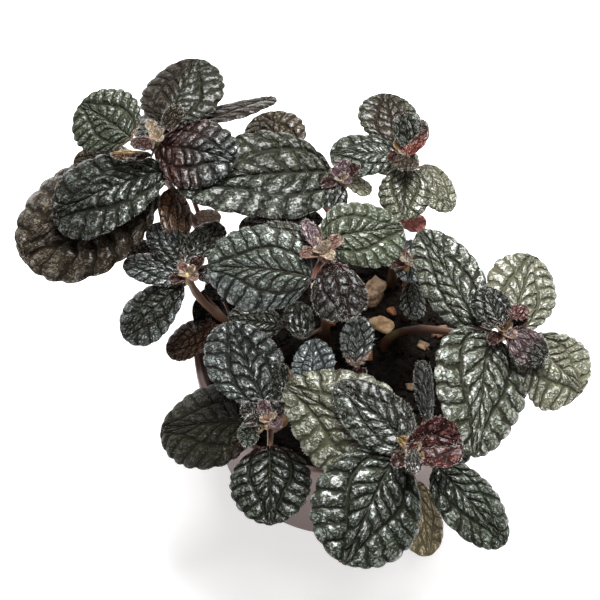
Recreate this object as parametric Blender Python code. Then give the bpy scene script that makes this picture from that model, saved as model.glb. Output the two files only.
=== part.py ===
"""A small quilted-leaf pilea in a low round nursery pot.

The plant is a ring of leafy stems. Each stem rises out of its own hole in the soil, leans outwards and ends
in a rosette of opposite leaves. Sizes are given in millimetres and degrees, and built in metres.
The origin is the middle of the pot's underside, +Z is up, and -Y is the front.
"""

import math
import random
from dataclasses import dataclass, field

import bmesh
import bpy
from mathutils import Matrix, Vector

MM = 0.001

# The pot
POT_BASE_RADIUS = 55.0
POT_WALL_TOP_RADIUS = 61.5
POT_RIM_RADIUS = 64.0
POT_HEIGHT = 77.0
POT_RIM_DEPTH = 9.0
POT_WALL = 1.8
POT_FLOOR = 2.4
POT_EDGE = 1.0
POT_SIDES = 36
DRAIN_COUNT = 6
DRAIN_RADIUS = 4.0
DRAIN_CIRCLE = 33.0
DRAIN_SIDES = 10
SHARP_ANGLE = 35.0

# The soil
GAP = 0.3
SOIL_TOP = 66.0
SOIL_MARGIN = 1.2
SOIL_SIDES = 24
SOIL_RINGS = 4
SOIL_HEAP = 1.5
SOIL_LUMP = 1.0
LONG_WAVES = (0.21, 0.17)
SHORT_WAVES = (0.29, 0.37)
SHORT_SHARE = 0.6
CHIPS_SEEN = (  # x, y, length and turn of the chips that show between the leaves
    (16, 33, 14, 65),
    (19, 15, 10, -32),
    (23.5, 22, 5, -55),
    (37, 4, 5, -31),
)
CHIP_COUNT = 10
CHIP_LENGTHS = (4.0, 7.0)
CHIP_SHAPE = (1.0, 0.7, 0.45)
CHIP_TILT = 30.0
CHIP_LIFT = 0.2
CHIP_REACH = 50.0
CHIP_SEED = 7

# The stems
STEM_RADIUS = 2.0
STEM_TIP_RADIUS = 1.5
STEM_SIDES = 6
STEM_STEPS = 6
STEM_IN_SOIL = 20.0
STEM_STRAIGHT = 6.0
STEM_RISE = 0.2
STEM_LEAN = 0.08
STEM_DROP = 0.5
HOLE_SIDES = 8
HOLE_RADIUS = 2.8
HOLE_HEADROOM = 12.0
PETIOLE_RADIUS = 1.0
PETIOLE_SIDES = 4
PETIOLE_IN_BLADE = 2.5
PETIOLE_SLOPE = 0.45
PETIOLE_DROP = 1.0
PETIOLE_SAG = 0.06
PETIOLE_LONG = 12.0
PETIOLE_FLARE = 1.2
PETIOLE_STEPS = 40
LEAST_STALK = 0.75
MOST_STALK = 1.2
USUAL_LENGTH = 30.0
USUAL_WIDTH = 28.0
BUD_RADIUS = 3.2
BUD_STRETCH = 1.3
BUD_LIFT = 1.5

# The leaves
BLADE = 0.8
LEAF_CUP = 0.16
LEAF_SHOULDER = -0.12
LEAF_FORWARD = 1.25
CRENATION = 0.9
GROOVE = 0.8
PUFF = 0.55
RIPPLE = 0.3
FULL_WIDTH = 36.0


@dataclass(frozen=True)
class Grain:
    """How finely a blade is divided: its ribs, two edge points to each, and the columns of one half."""

    ribs: int
    columns: tuple[float, ...]


LARGE = Grain(ribs=6, columns=(0.0, 0.27, 0.54, 1.0))
MIDDLE = Grain(ribs=5, columns=(0.0, 0.45, 1.0))
LOWER = Grain(ribs=4, columns=(0.0, 0.45, 1.0))
SMALL = Grain(ribs=3, columns=(0.0, 0.5, 1.0))


@dataclass(frozen=True)
class Leaf:
    """One leaf: its base in millimetres from the rosette's centre, its angles in degrees and its size."""

    base: tuple[float, float, float]
    heading: float
    pitch: float
    roll: float
    length: float
    width: float
    bend: float = 20.0
    cup: float = LEAF_CUP
    grain: Grain = MIDDLE


@dataclass(frozen=True)
class Shoot:
    """A leafy stem: where it enters the soil, where its rosette sits, how it bows out, and its leaves."""

    name: str
    root: tuple[float, float]
    crown: tuple[float, float, float]
    sway: tuple[float, float] = (0.0, 0.0)
    leaves: dict[str, Leaf] = field(default_factory=dict)


SHOOTS = (
    Shoot("shoot_back_left", root=(-34, 24), crown=(-78, 56, 152), leaves={
        "A1": Leaf((3, 6, -1), 74, 5, 0, 44, 36, grain=LARGE),
        "A2": Leaf((-8, 4, -3), 138, -8, -5, 42, 36, bend=25, grain=LARGE),
        "A3": Leaf((5, -1, -3), -16, 5, 0, 32, 31, grain=LARGE),
        "A4": Leaf((0, -5, -8), -146, 0, 5, 54, 35, bend=30, grain=LARGE),
        "A5": Leaf((-3, -6, -20), -150, 0, 0, 66, 55, bend=30, grain=LARGE),
        "A6": Leaf((5, 17, -11), 18, 0, -38, 48, 28),
        "A7": Leaf((3, 2, 3), 45, 40, 0, 12, 9, grain=SMALL),
        "A8": Leaf((-2, -3, 3), -125, 35, 0, 12, 9, grain=SMALL),
        "A9": Leaf((8, 29, -40), 110, -15, 0, 36, 27, grain=LOWER),
    }),
    Shoot("shoot_back", root=(2, 32), crown=(0, 42, 140), leaves={
        "B1": Leaf((-5, 4, -2), 172, 3, 0, 60, 50, bend=30, grain=LARGE),
        "B2": Leaf((-21, 28, -16), 117, 0, -5, 30, 25),
        "B3": Leaf((3, 0, -6), 0, -25, 15, 12, 10, bend=10, grain=SMALL),
        "B4": Leaf((-1, -4, 1), -98, 15, -5, 13, 12, bend=15, grain=SMALL),
        "B5": Leaf((0, 1, 1), 80, 30, 0, 8, 8, bend=10, grain=SMALL),
        "B6": Leaf((-20, 18, -35), 150, -12, 0, 34, 26, grain=LOWER),
    }),
    Shoot("shoot_back_right", root=(24, 38), crown=(27, 56, 140), leaves={
        "C1": Leaf((-3, 8, -4), 97, 5, 5, 33, 28),
        "C2": Leaf((-2, 1, -3), 173, 5, 5, 32, 26),
        "C3": Leaf((0, -4, -3), -94, 0, 0, 26, 22),
        "C4": Leaf((8, -3, -5), -61, -10, -15, 23, 17),
        "C5": Leaf((1, 0, 4), 89, 25, -20, 16, 13, bend=10, grain=SMALL),
        "C6": Leaf((2, 0, 3), 65, 15, -35, 16, 13, bend=10, grain=SMALL),
        "C7": Leaf((0, -1, 3), -85, 20, 0, 13, 10, bend=10, grain=SMALL),
        "C8": Leaf((-2, -21, -22), 5, 5, 0, 13, 9, bend=10, grain=SMALL),
        "C9": Leaf((2, 14, -35), 105, -12, 0, 30, 22, grain=LOWER),
    }),
    Shoot("shoot_centre", root=(-6, 4), crown=(-9, -15, 170), leaves={
        "E1": Leaf((-4, -3, -3), 167, -10, -10, 50, 41, bend=30, grain=LARGE),
        "E2": Leaf((2, 5, -3), 25, -8, 5, 37, 33, bend=25, grain=LARGE),
        "E3": Leaf((3, -3, -2), -74, 0, 0, 26, 23),
        "E4": Leaf((-1, 1, 2), 113, 10, 25, 16, 11, bend=10, grain=SMALL),
        "E5": Leaf((-4, 3, 1), 146, 5, 0, 28, 15, bend=15),
        "E6": Leaf((-7, 6, -74), 100, 15, 10, 18, 13, bend=15, grain=SMALL),
        "E7": Leaf((6, 26, -42), 42, -12, 0, 28, 22, grain=LOWER),
        "E8": Leaf((-7, 20, -48), 160, -12, 0, 34, 25, grain=LOWER),
    }),
    Shoot("shoot_left", root=(-38, 2), crown=(-64, 2, 128), leaves={
        "F1": Leaf((-2, 2, -2), 163, 0, 5, 29, 19),
        "F2": Leaf((-2, 6, -1), 120, 8, 5, 25, 19),
        "F3": Leaf((-2, -4, -2), -131, -3, 0, 34, 25, bend=25),
        "F4": Leaf((1, 4, 1), 55, 8, -10, 25, 22, bend=15),
        "F5": Leaf((-3, 28, -16), 99, 15, 30, 24, 17, bend=10, grain=SMALL),
        "F7": Leaf((6, 7, -30), -78, -18, -25, 21, 15, bend=15, grain=SMALL),
        "F8": Leaf((15, -9, -32), -166, -3, -5, 26, 18, bend=15),
        "F9": Leaf((6, 10, -28), 30, -12, 0, 22, 17, grain=LOWER),
    }),
    Shoot("shoot_front_left", root=(-18, -30), crown=(-30, -69, 132), leaves={
        "G1": Leaf((-3, 10, -4), 108, 12, 5, 41, 33, bend=25, grain=LARGE),
        "G2": Leaf((-9, 3, -10), 167, -17, -15, 43, 35, bend=25, grain=LARGE),
        "G3": Leaf((0, -8, -6), -88, 5, 0, 33, 32, bend=25, grain=LARGE),
        "G4": Leaf((-3, -6, 2), 179, -20, -15, 12, 10, bend=10, grain=SMALL),
        "G5": Leaf((-3, 0, 3), 137, -10, 0, 10, 8, bend=10, grain=SMALL),
        "G6": Leaf((4, 6, -3), 83, 5, -20, 17, 11, bend=10, grain=SMALL),
        "G7": Leaf((-2, 24, -37), 120, -12, 0, 30, 22, grain=LOWER),
    }),
    Shoot("shoot_front", root=(12, -36), crown=(25, -93, 150), leaves={
        "H1": Leaf((-6, -1, -6), -115, 5, -5, 46, 42, bend=30, grain=LARGE),
        "H2": Leaf((8, -3, -8), -46, -3, -5, 40, 25, bend=25, grain=LARGE),
        "H3": Leaf((4, -1, -16), -87, -25, -48, 33, 20),
        "H4": Leaf((-2, 3, 0), 137, 12, 10, 37, 30, bend=25, grain=LARGE),
        "H5": Leaf((-7, 3, -7), 143, 3, 0, 48, 42, bend=25, grain=LARGE),
        "H6": Leaf((-2, -4, 2), 12, 10, 0, 22, 22, bend=5, cup=-0.45),
        "H7": Leaf((7, 18, -7), 89, 10, 60, 27, 20, bend=15),
        "H8": Leaf((0, -1, 2), -90, 20, 0, 11, 8, bend=10, grain=SMALL),
        "H9": Leaf((-7, 31, -42), 150, -12, 0, 36, 27, grain=LOWER),
        "H10": Leaf((5, 27, -45), 15, -12, 0, 26, 20, grain=LOWER),
        "H11": Leaf((-7, 13, -38), -120, -15, 0, 32, 25, grain=LOWER),
    }),
    Shoot("shoot_right", root=(20, 4), crown=(63, -39, 150), sway=(12, 8), leaves={
        "I1": Leaf((-6, 5, -4), 119, 10, 12, 52, 42, bend=25, grain=LARGE),
        "I2": Leaf((4, 8, -3), 72, 5, 5, 35, 30, grain=LARGE),
        "I3": Leaf((-3, -1, -5), -104, -5, 10, 48, 37, bend=30, grain=LARGE),
        "I4": Leaf((6, -1, -7), -43, 8, 5, 35, 32, bend=25, grain=LARGE),
        "I5": Leaf((-2, 1, 4), 110, 0, 5, 19, 16, bend=10, grain=SMALL),
        "I6": Leaf((1, -4, 3), -35, -10, 0, 17, 14, bend=10, grain=SMALL),
        "I7": Leaf((1, 1, 6), 37, 0, -10, 10, 8, bend=5, grain=SMALL),
        "I8": Leaf((-1, 27, -42), 100, -12, 0, 34, 25, grain=LOWER),
        "I9": Leaf((9, 19, -44), -20, -12, 0, 30, 22, grain=LOWER),
        "I10": Leaf((-3, 9, -44), -105, -12, 0, 26, 21, grain=LOWER),
    }),
    Shoot("shoot_low_front", root=(4, -16), crown=(2, -41, 112), leaves={
        "J1": Leaf((3, 5, 1), 86, 12, -30, 27, 18, bend=15),
        "J2": Leaf((-12, 4, -6), 102, 8, 10, 24, 20, bend=15),
    }),
    Shoot("shoot_low_centre", root=(30, 20), crown=(28, 16, 118), leaves={
        "K1": Leaf((-1, 10, 2), -96, -8, 0, 19, 15, bend=15),
        "K2": Leaf((3, 4, -14), -87, -12, -15, 21, 16, bend=15),
    }),
)


def material(name: str, colour: tuple[float, float, float], roughness: float) -> bpy.types.Material:
    """A plain finish."""
    made = bpy.data.materials.new(name)
    made.use_nodes = True
    shader = made.node_tree.nodes["Principled BSDF"]
    shader.inputs["Base Color"].default_value = (*colour, 1.0)
    shader.inputs["Roughness"].default_value = roughness
    shader.inputs["Metallic"].default_value = 0.0
    return made


def finished(name: str, bm: bmesh.types.BMesh, finish: bpy.types.Material) -> bpy.types.Object:
    """Turns a mesh under construction into an object in the scene."""
    mesh = bpy.data.meshes.new(name)
    bm.to_mesh(mesh)
    bm.free()
    mesh.materials.append(finish)
    made = bpy.data.objects.new(name, mesh)
    bpy.context.scene.collection.objects.link(made)
    return made


def frozen(piece: bpy.types.Object) -> None:
    """Puts the result of the modifiers into the mesh."""
    bpy.context.view_layer.update()
    graph = bpy.context.evaluated_depsgraph_get()
    mesh = bpy.data.meshes.new_from_object(piece.evaluated_get(graph))
    piece.modifiers.clear()
    piece.data = mesh


def joined(piece: bpy.types.Object, others: list[bpy.types.Object], operation: str) -> None:
    """One Boolean between a piece and a list of others, which are then removed."""
    group = bpy.data.collections.new(piece.name + "_parts")
    bpy.context.scene.collection.children.link(group)
    for other in others:
        bpy.context.scene.collection.objects.unlink(other)
        group.objects.link(other)
    boolean = piece.modifiers.new(operation.title(), "BOOLEAN")
    boolean.operation = operation
    boolean.operand_type = "COLLECTION"
    boolean.collection = group
    boolean.solver = "MANIFOLD"
    boolean.material_mode = "TRANSFER"
    frozen(piece)
    for other in others:
        bpy.data.objects.remove(other)
    bpy.data.collections.remove(group)


def keep_outer_skin(piece: bpy.types.Object) -> None:
    """Fills any hollow that fusing sealed, and drops loose scraps: only the largest skin stays."""
    bm = bmesh.new()
    bm.from_mesh(piece.data)
    left = set(bm.faces)
    skins = []
    while left:
        skin = {left.pop()}
        edge_of_skin = list(skin)
        while edge_of_skin:
            face = edge_of_skin.pop()
            for near in {other for edge in face.edges for other in edge.link_faces} & left:
                left.discard(near)
                skin.add(near)
                edge_of_skin.append(near)
        skins.append(skin)
    outer = max(skins, key=lambda skin: sum(face.calc_area() for face in skin))
    inner = [face for skin in skins if skin is not outer for face in skin]
    bmesh.ops.delete(bm, geom=inner, context="FACES")
    bm.to_mesh(piece.data)
    bm.free()


def turned(profile: list[tuple[float, float]], sides: int) -> bmesh.types.BMesh:
    """A closed profile of (radius, height) spun about the Z axis."""
    bm = bmesh.new()
    points = [bm.verts.new((radius * MM, 0, height * MM)) for radius, height in profile]
    edges = [bm.edges.new((a, b)) for a, b in zip(points, points[1:])]
    bmesh.ops.spin(
        bm, geom=points + edges, axis=(0, 0, 1), cent=(0, 0, 0),
        angle=math.tau, steps=sides, use_merge=True,
    )
    bmesh.ops.remove_doubles(bm, verts=bm.verts, dist=0.00001)
    bmesh.ops.recalc_face_normals(bm, faces=bm.faces)
    return bm


def rod(name: str, radius: float, sides: int, place: tuple[float, float], span: tuple[float, float],
        finish: bpy.types.Material) -> bpy.types.Object:
    """An upright round cutter, from the span's lower height to its upper one."""
    bottom, top = span
    bm = bmesh.new()
    bmesh.ops.create_cone(
        bm, cap_ends=True, segments=sides,
        radius1=radius * MM, radius2=radius * MM, depth=(top - bottom) * MM,
        matrix=Matrix.Translation(Vector((*place, (top + bottom) / 2)) * MM),
    )
    return finished(name, bm, finish)


def pot_radius(height: float) -> float:
    """The outside radius of the tapered wall."""
    return POT_BASE_RADIUS + (POT_WALL_TOP_RADIUS - POT_BASE_RADIUS) * height / POT_HEIGHT


def make_pot() -> bpy.types.Object:
    """A tapered pot with a flat floor, drain holes and a stepped rim."""
    plastic = material("pot_plastic", (0.20, 0.14, 0.13), 0.5)
    rim_bottom = POT_HEIGHT - POT_RIM_DEPTH
    bm = turned([
        (0, 0),
        (POT_BASE_RADIUS - POT_EDGE, 0),
        (POT_BASE_RADIUS, POT_EDGE),
        (pot_radius(rim_bottom), rim_bottom),
        (POT_RIM_RADIUS - POT_EDGE / 2, rim_bottom + POT_EDGE / 2),
        (POT_RIM_RADIUS, POT_HEIGHT - POT_EDGE),
        (POT_RIM_RADIUS - POT_EDGE, POT_HEIGHT),
        (POT_RIM_RADIUS - POT_WALL, POT_HEIGHT),
        (pot_radius(rim_bottom) - POT_WALL, rim_bottom - POT_EDGE),
        (pot_radius(POT_FLOOR) - POT_WALL, POT_FLOOR + POT_EDGE),
        (pot_radius(POT_FLOOR) - POT_WALL - POT_EDGE, POT_FLOOR),
        (0, POT_FLOOR),
    ], POT_SIDES)
    pot = finished("pot", bm, plastic)
    drains = []
    for index in range(DRAIN_COUNT):
        angle = math.tau * (index + 0.5) / DRAIN_COUNT
        place = (DRAIN_CIRCLE * math.cos(angle), DRAIN_CIRCLE * math.sin(angle))
        span = (-POT_EDGE, POT_FLOOR + POT_EDGE)
        drains.append(rod(f"drain_{index}", DRAIN_RADIUS, DRAIN_SIDES, place, span, plastic))
    joined(pot, drains, "DIFFERENCE")
    pot.data.shade_smooth()
    pot.data.set_sharp_from_angle(angle=math.radians(SHARP_ANGLE))
    return pot


def soil_height(x: float, y: float) -> float:
    """The top of the soil, a little lumpy and slightly heaped in the middle."""
    reach = math.hypot(x, y) / POT_RIM_RADIUS
    long_lumps = math.sin(LONG_WAVES[0] * x) * math.cos(LONG_WAVES[1] * y)
    short_lumps = math.sin(SHORT_WAVES[1] * y - SHORT_WAVES[0] * x)
    return SOIL_TOP + SOIL_HEAP * (1 - reach * reach) + SOIL_LUMP * (long_lumps + SHORT_SHARE * short_lumps)


def make_chip(name: str, place: tuple[float, float], length: float, turn: float, tilt: float,
              finish: bpy.types.Material) -> bpy.types.Object:
    """A chip of bark that lies on the soil and sinks a little way into it."""
    x, y = place
    put = Matrix.Translation(Vector((x, y, soil_height(x, y) + CHIP_LIFT)) * MM)
    turned_by = Matrix.Rotation(math.radians(turn), 4, "Z") @ Matrix.Rotation(math.radians(tilt), 4, "X")
    size = Matrix.Diagonal((*(length * share for share in CHIP_SHAPE), 1))
    bm = bmesh.new()
    bmesh.ops.create_cube(bm, size=MM, matrix=put @ turned_by @ size)
    return finished(name, bm, finish)


def make_soil() -> bpy.types.Object:
    """The pot's filling: a tapered plug with a lumpy top, bark chips on it and a hole for each stem."""
    earth = material("soil", (0.02, 0.015, 0.012), 0.95)
    edge = pot_radius(SOIL_TOP) - POT_WALL - SOIL_MARGIN
    foot = pot_radius(POT_FLOOR) - POT_WALL - POT_EDGE - 2 * GAP
    bottom = POT_FLOOR + GAP
    profile = [(0, bottom), (foot, bottom), (edge, SOIL_TOP - SOIL_HEAP)]
    for ring in range(SOIL_RINGS + 1):
        profile.append((edge * (1 - ring / SOIL_RINGS), SOIL_TOP))
    bm = turned(profile, SOIL_SIDES)
    for vert in bm.verts:
        if vert.co.z > (SOIL_TOP - GAP) * MM:
            vert.co.z = soil_height(vert.co.x / MM, vert.co.y / MM) * MM
    soil = finished("soil", bm, earth)

    chips = [
        make_chip(f"chip_seen_{index}", (x, y), length, turn, 0.0, earth)
        for index, (x, y, length, turn) in enumerate(CHIPS_SEEN)
    ]
    chance = random.Random(CHIP_SEED)
    while len(chips) < len(CHIPS_SEEN) + CHIP_COUNT:
        place = (chance.uniform(-CHIP_REACH, CHIP_REACH), chance.uniform(-CHIP_REACH, CHIP_REACH))
        near = min(math.dist(place, shoot.root) for shoot in SHOOTS)
        if math.hypot(*place) > CHIP_REACH or near < HOLE_RADIUS + CHIP_LENGTHS[1]:
            continue
        chips.append(make_chip(
            f"chip_{len(chips)}", place, chance.uniform(*CHIP_LENGTHS), chance.uniform(0, 360),
            chance.uniform(-CHIP_TILT, CHIP_TILT), earth,
        ))
    joined(soil, chips, "UNION")

    span = (SOIL_TOP - STEM_IN_SOIL - GAP, SOIL_TOP + HOLE_HEADROOM)
    holes = [
        rod(shoot.name + "_hole", HOLE_RADIUS, HOLE_SIDES, shoot.root, span, earth) for shoot in SHOOTS
    ]
    joined(soil, holes, "DIFFERENCE")
    return soil


def stem_point(shoot: Shoot, along: float) -> Vector:
    """A point of the stem's middle line, from 0 where it leaves the soil upright to 1 at the rosette."""
    x, y = shoot.root
    start = Vector((x, y, SOIL_TOP + STEM_STRAIGHT))
    end = Vector(shoot.crown)
    rise = end.z - start.z
    bow = Vector((*shoot.sway, 0))
    lean = (end - start).xy * STEM_LEAN
    first = start + Vector((0, 0, rise * STEM_RISE)) + bow
    second = end - Vector((*lean, rise * STEM_DROP)) + bow
    rest = 1 - along
    return (
        start * rest**3 + first * (3 * rest**2 * along)
        + second * (3 * rest * along**2) + end * along**3
    )


def tube(points: list[Vector], radii: list[float], sides: int) -> bmesh.types.BMesh:
    """A closed tube through points in millimetres, with a radius at each."""
    bm = bmesh.new()
    rings = []
    for index, point in enumerate(points):
        before = points[max(index - 1, 0)]
        after = points[min(index + 1, len(points) - 1)]
        turn = (after - before).to_track_quat("Z", "X").to_matrix().to_4x4()
        ring = bmesh.ops.create_circle(
            bm, cap_ends=False, segments=sides, radius=radii[index] * MM,
            matrix=Matrix.Translation(point * MM) @ turn,
        )
        rings.append(ring["verts"])
    for low, high in zip(rings, rings[1:]):
        edges = {edge for vert in low + high for edge in vert.link_edges}
        bmesh.ops.bridge_loops(bm, edges=[
            edge for edge in edges
            if all(vert in low for vert in edge.verts) or all(vert in high for vert in edge.verts)
        ])
    bmesh.ops.holes_fill(bm, edges=bm.edges, sides=0)
    bmesh.ops.recalc_face_normals(bm, faces=bm.faces)
    return bm


def make_stem(shoot: Shoot, finish: bpy.types.Material) -> bpy.types.Object:
    """The stem, from its end in the soil to the rosette."""
    x, y = shoot.root
    points = [Vector((x, y, SOIL_TOP - STEM_IN_SOIL)), Vector((x, y, SOIL_TOP - STEM_IN_SOIL / 2))]
    points += [stem_point(shoot, step / STEM_STEPS) for step in range(STEM_STEPS + 1)]
    thinner = (STEM_RADIUS - STEM_TIP_RADIUS) / (len(points) - 1)
    radii = [STEM_RADIUS - thinner * index for index in range(len(points))]
    return finished(shoot.name, tube(points, radii, STEM_SIDES), finish)


def make_bud(shoot: Shoot, finish: bpy.types.Material) -> bpy.types.Object:
    """The closed bud at the rosette's centre."""
    bm = bmesh.new()
    centre = Vector(shoot.crown) + Vector((0, 0, BUD_LIFT))
    bmesh.ops.create_icosphere(
        bm, subdivisions=1, radius=BUD_RADIUS * MM,
        matrix=Matrix.Translation(centre * MM) @ Matrix.Diagonal((1, 1, BUD_STRETCH, 1)),
    )
    return finished(shoot.name + "_bud", bm, finish)


def leaf_frame(leaf: Leaf, crown: tuple[float, float, float],
               reach: float) -> tuple[Vector, Vector, Vector, Vector]:
    """The midrib's point at a distance from the base, and its forward, side and upward directions."""
    heading, pitch, roll = (math.radians(angle) for angle in (leaf.heading, leaf.pitch, leaf.roll))
    ahead = Vector((math.cos(heading), math.sin(heading), 0))
    turn = math.radians(leaf.bend) / leaf.length
    slope = pitch - turn * reach
    run = (math.sin(pitch) - math.sin(slope)) / turn
    rise = (math.cos(slope) - math.cos(pitch)) / turn
    point = Vector(crown) + Vector(leaf.base) + ahead * run + Vector((0, 0, rise))
    forward = ahead * math.cos(slope) + Vector((0, 0, math.sin(slope)))
    normal = Vector((0, 0, math.cos(slope))) - ahead * math.sin(slope)
    side = Vector((-math.sin(heading), math.cos(heading), 0))
    return (
        point,
        forward,
        side * math.cos(roll) + normal * math.sin(roll),
        normal * math.cos(roll) - side * math.sin(roll),
    )


def leaf_point(leaf: Leaf, crown: tuple[float, float, float], row: int, column: int) -> Vector:
    """A point of the blade, for a row from base to tip and a column to either side of the midrib."""
    grain = leaf.grain
    across = grain.columns[abs(column)]
    tooth = row % 2
    if across < 1.0:
        row -= tooth
    swing = math.pi * row / (2 * grain.ribs)
    outline = (1 - math.cos(swing)) / 2
    foot = outline**LEAF_FORWARD
    reach = leaf.length * (foot + (outline - foot) * across)
    half = leaf.width / 2 * math.sin(swing) * (1 + LEAF_SHOULDER * math.cos(swing))
    sideways = half * across
    height = -leaf.cup * sideways**2 / (leaf.width / 2)
    size = leaf.width / FULL_WIDTH
    wave = 1 if row // 2 % 2 else -1
    if 0 < row < 2 * grain.ribs:
        if across == 1.0:
            out = CRENATION * size * (1 if tooth else -1)
            sideways += out * math.sin(swing)
            reach -= out * math.cos(swing)
            height -= RIPPLE * size * (1 if tooth else -1)
        elif column == 0:
            height -= GROOVE * size * (1 - 0.5 * outline)
        elif abs(column) == 1:
            height += (PUFF + RIPPLE * wave) * size
        else:
            height -= GROOVE * 0.5 * size
    point, _, side, normal = leaf_frame(leaf, crown, reach)
    return point + side * math.copysign(sideways, column) + normal * height


def make_blade(name: str, leaf: Leaf, crown: tuple[float, float, float],
               finish: bpy.types.Material) -> bpy.types.Object:
    """A waved blade with a scalloped edge, split into the same triangles on both faces."""
    rows, half = 2 * leaf.grain.ribs, len(leaf.grain.columns) - 1
    bm = bmesh.new()
    bmesh.ops.create_grid(bm, x_segments=rows, y_segments=2 * half, size=1.0)
    for vert in bm.verts:
        row = round((vert.co.x + 1) / 2 * rows)
        column = round(vert.co.y * half)
        vert.co = leaf_point(leaf, crown, row, column) * MM
    bmesh.ops.remove_doubles(bm, verts=bm.verts, dist=0.00001)
    bmesh.ops.triangulate(bm, faces=bm.faces[:])
    bmesh.ops.solidify(bm, geom=bm.faces[:], thickness=BLADE * MM)
    return finished(name, bm, finish)


def make_petiole(name: str, shoot: Shoot, leaf: Leaf, finish: bpy.types.Material) -> bpy.types.Object:
    """The leaf's stalk, from inside the stem to a little way along under the blade."""
    base, forward, _, normal = leaf_frame(leaf, shoot.crown, 0)
    level = Vector(leaf.base).xy.length
    wanted = base.z - PETIOLE_SLOPE * level - PETIOLE_DROP
    steps = [step / PETIOLE_STEPS for step in range(PETIOLE_STEPS + 1)]
    spring = min((stem_point(shoot, step) for step in steps), key=lambda point: abs(point.z - wanted))
    start = base - normal * BLADE
    end = start + forward * PETIOLE_IN_BLADE * min(leaf.length / USUAL_LENGTH, 1)
    points = [spring, end]
    if level > PETIOLE_LONG:
        points.insert(1, (spring + start) / 2 - Vector((0, 0, PETIOLE_SAG * level)))
    radius = PETIOLE_RADIUS * min(max(leaf.width / USUAL_WIDTH, LEAST_STALK), MOST_STALK)
    radii = [radius * PETIOLE_FLARE] + [radius] * (len(points) - 1)
    return finished(name, tube(points, radii, PETIOLE_SIDES), finish)


def make_shoot(shoot: Shoot, stalk: bpy.types.Material, green: bpy.types.Material,
               young: bpy.types.Material) -> bpy.types.Object:
    """A stem with its bud, petioles and leaves, fused in one solid."""
    stem = make_stem(shoot, stalk)
    parts = [make_bud(shoot, young)]
    for name, leaf in shoot.leaves.items():
        parts.append(make_petiole(name + "_petiole", shoot, leaf, stalk))
        parts.append(make_blade(name, leaf, shoot.crown, young if leaf.grain is SMALL else green))
    joined(stem, parts, "UNION")
    keep_outer_skin(stem)
    return stem


def main() -> None:
    """Clears the scene and builds every piece."""
    for old in list(bpy.data.objects):
        bpy.data.objects.remove(old)
    make_pot()
    make_soil()
    stalk = material("stalk", (0.30, 0.16, 0.12), 0.45)
    green = material("leaf", (0.045, 0.06, 0.045), 0.35)
    young = material("young_leaf", (0.10, 0.035, 0.05), 0.5)
    for shoot in SHOOTS:
        make_shoot(shoot, stalk, green, young)


main()
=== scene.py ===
"""The looks of a potted pilea: quilted silvery leaves in rosettes on arching stems, in a low nursery pot.

Lengths are in millimetres and angles in degrees, and the meshes are written in metres. The origin is the
middle of the pot's underside, +Z is up and -Y is the front. Each leafy stem keeps the root and the rosette of
the solid that it replaces. Its leaves are placed and sized by how they look from the camera.
"""

import logging
import math
import random
from dataclasses import dataclass
from enum import Enum
from typing import Any

import bmesh
import bpy
import numpy as np
from mathutils import Matrix, Vector, noise


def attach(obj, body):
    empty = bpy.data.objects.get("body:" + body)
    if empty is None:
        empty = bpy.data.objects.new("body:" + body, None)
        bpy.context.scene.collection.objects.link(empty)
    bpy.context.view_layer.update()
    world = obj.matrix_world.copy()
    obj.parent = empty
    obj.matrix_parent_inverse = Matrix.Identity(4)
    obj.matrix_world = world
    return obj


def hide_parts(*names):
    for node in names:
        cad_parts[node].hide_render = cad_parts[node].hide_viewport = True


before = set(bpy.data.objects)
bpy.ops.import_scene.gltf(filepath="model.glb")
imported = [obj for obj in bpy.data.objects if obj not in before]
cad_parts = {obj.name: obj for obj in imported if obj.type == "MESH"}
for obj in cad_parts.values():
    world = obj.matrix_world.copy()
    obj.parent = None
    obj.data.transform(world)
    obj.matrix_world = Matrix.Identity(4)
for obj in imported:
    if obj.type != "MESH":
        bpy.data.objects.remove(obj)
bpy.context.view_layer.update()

LOG = logging.getLogger("potted_pilea")
MM = 0.001
BODY = "root"

Colour = tuple[float, float, float]
Point = tuple[float, float, float]


def paint(red: int, green: int, blue: int) -> Colour:
    """Turns a colour as it is seen, 0 to 255 a channel, into the linear light that a shader takes.

    Args:
        red: The red channel.
        green: The green channel.
        blue: The blue channel.

    Returns:
        The three linear channels.
    """
    def linear(value: int) -> float:
        """One channel, by the usual display curve."""
        share = value / 255
        return share / 12.92 if share <= 0.04045 else ((share + 0.055) / 1.055) ** 2.4

    return linear(red), linear(green), linear(blue)


def ease(low: float, high: float, value: Any) -> Any:
    """A smooth step from 0 at low to 1 at high, for numbers and arrays.

    Args:
        low: Where the step starts.
        high: Where the step ends.
        value: The number or array to read.

    Returns:
        The step's height there.
    """
    share = np.clip((value - low) / (high - low), 0.0, 1.0)
    return share * share * (3 - 2 * share)


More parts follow.
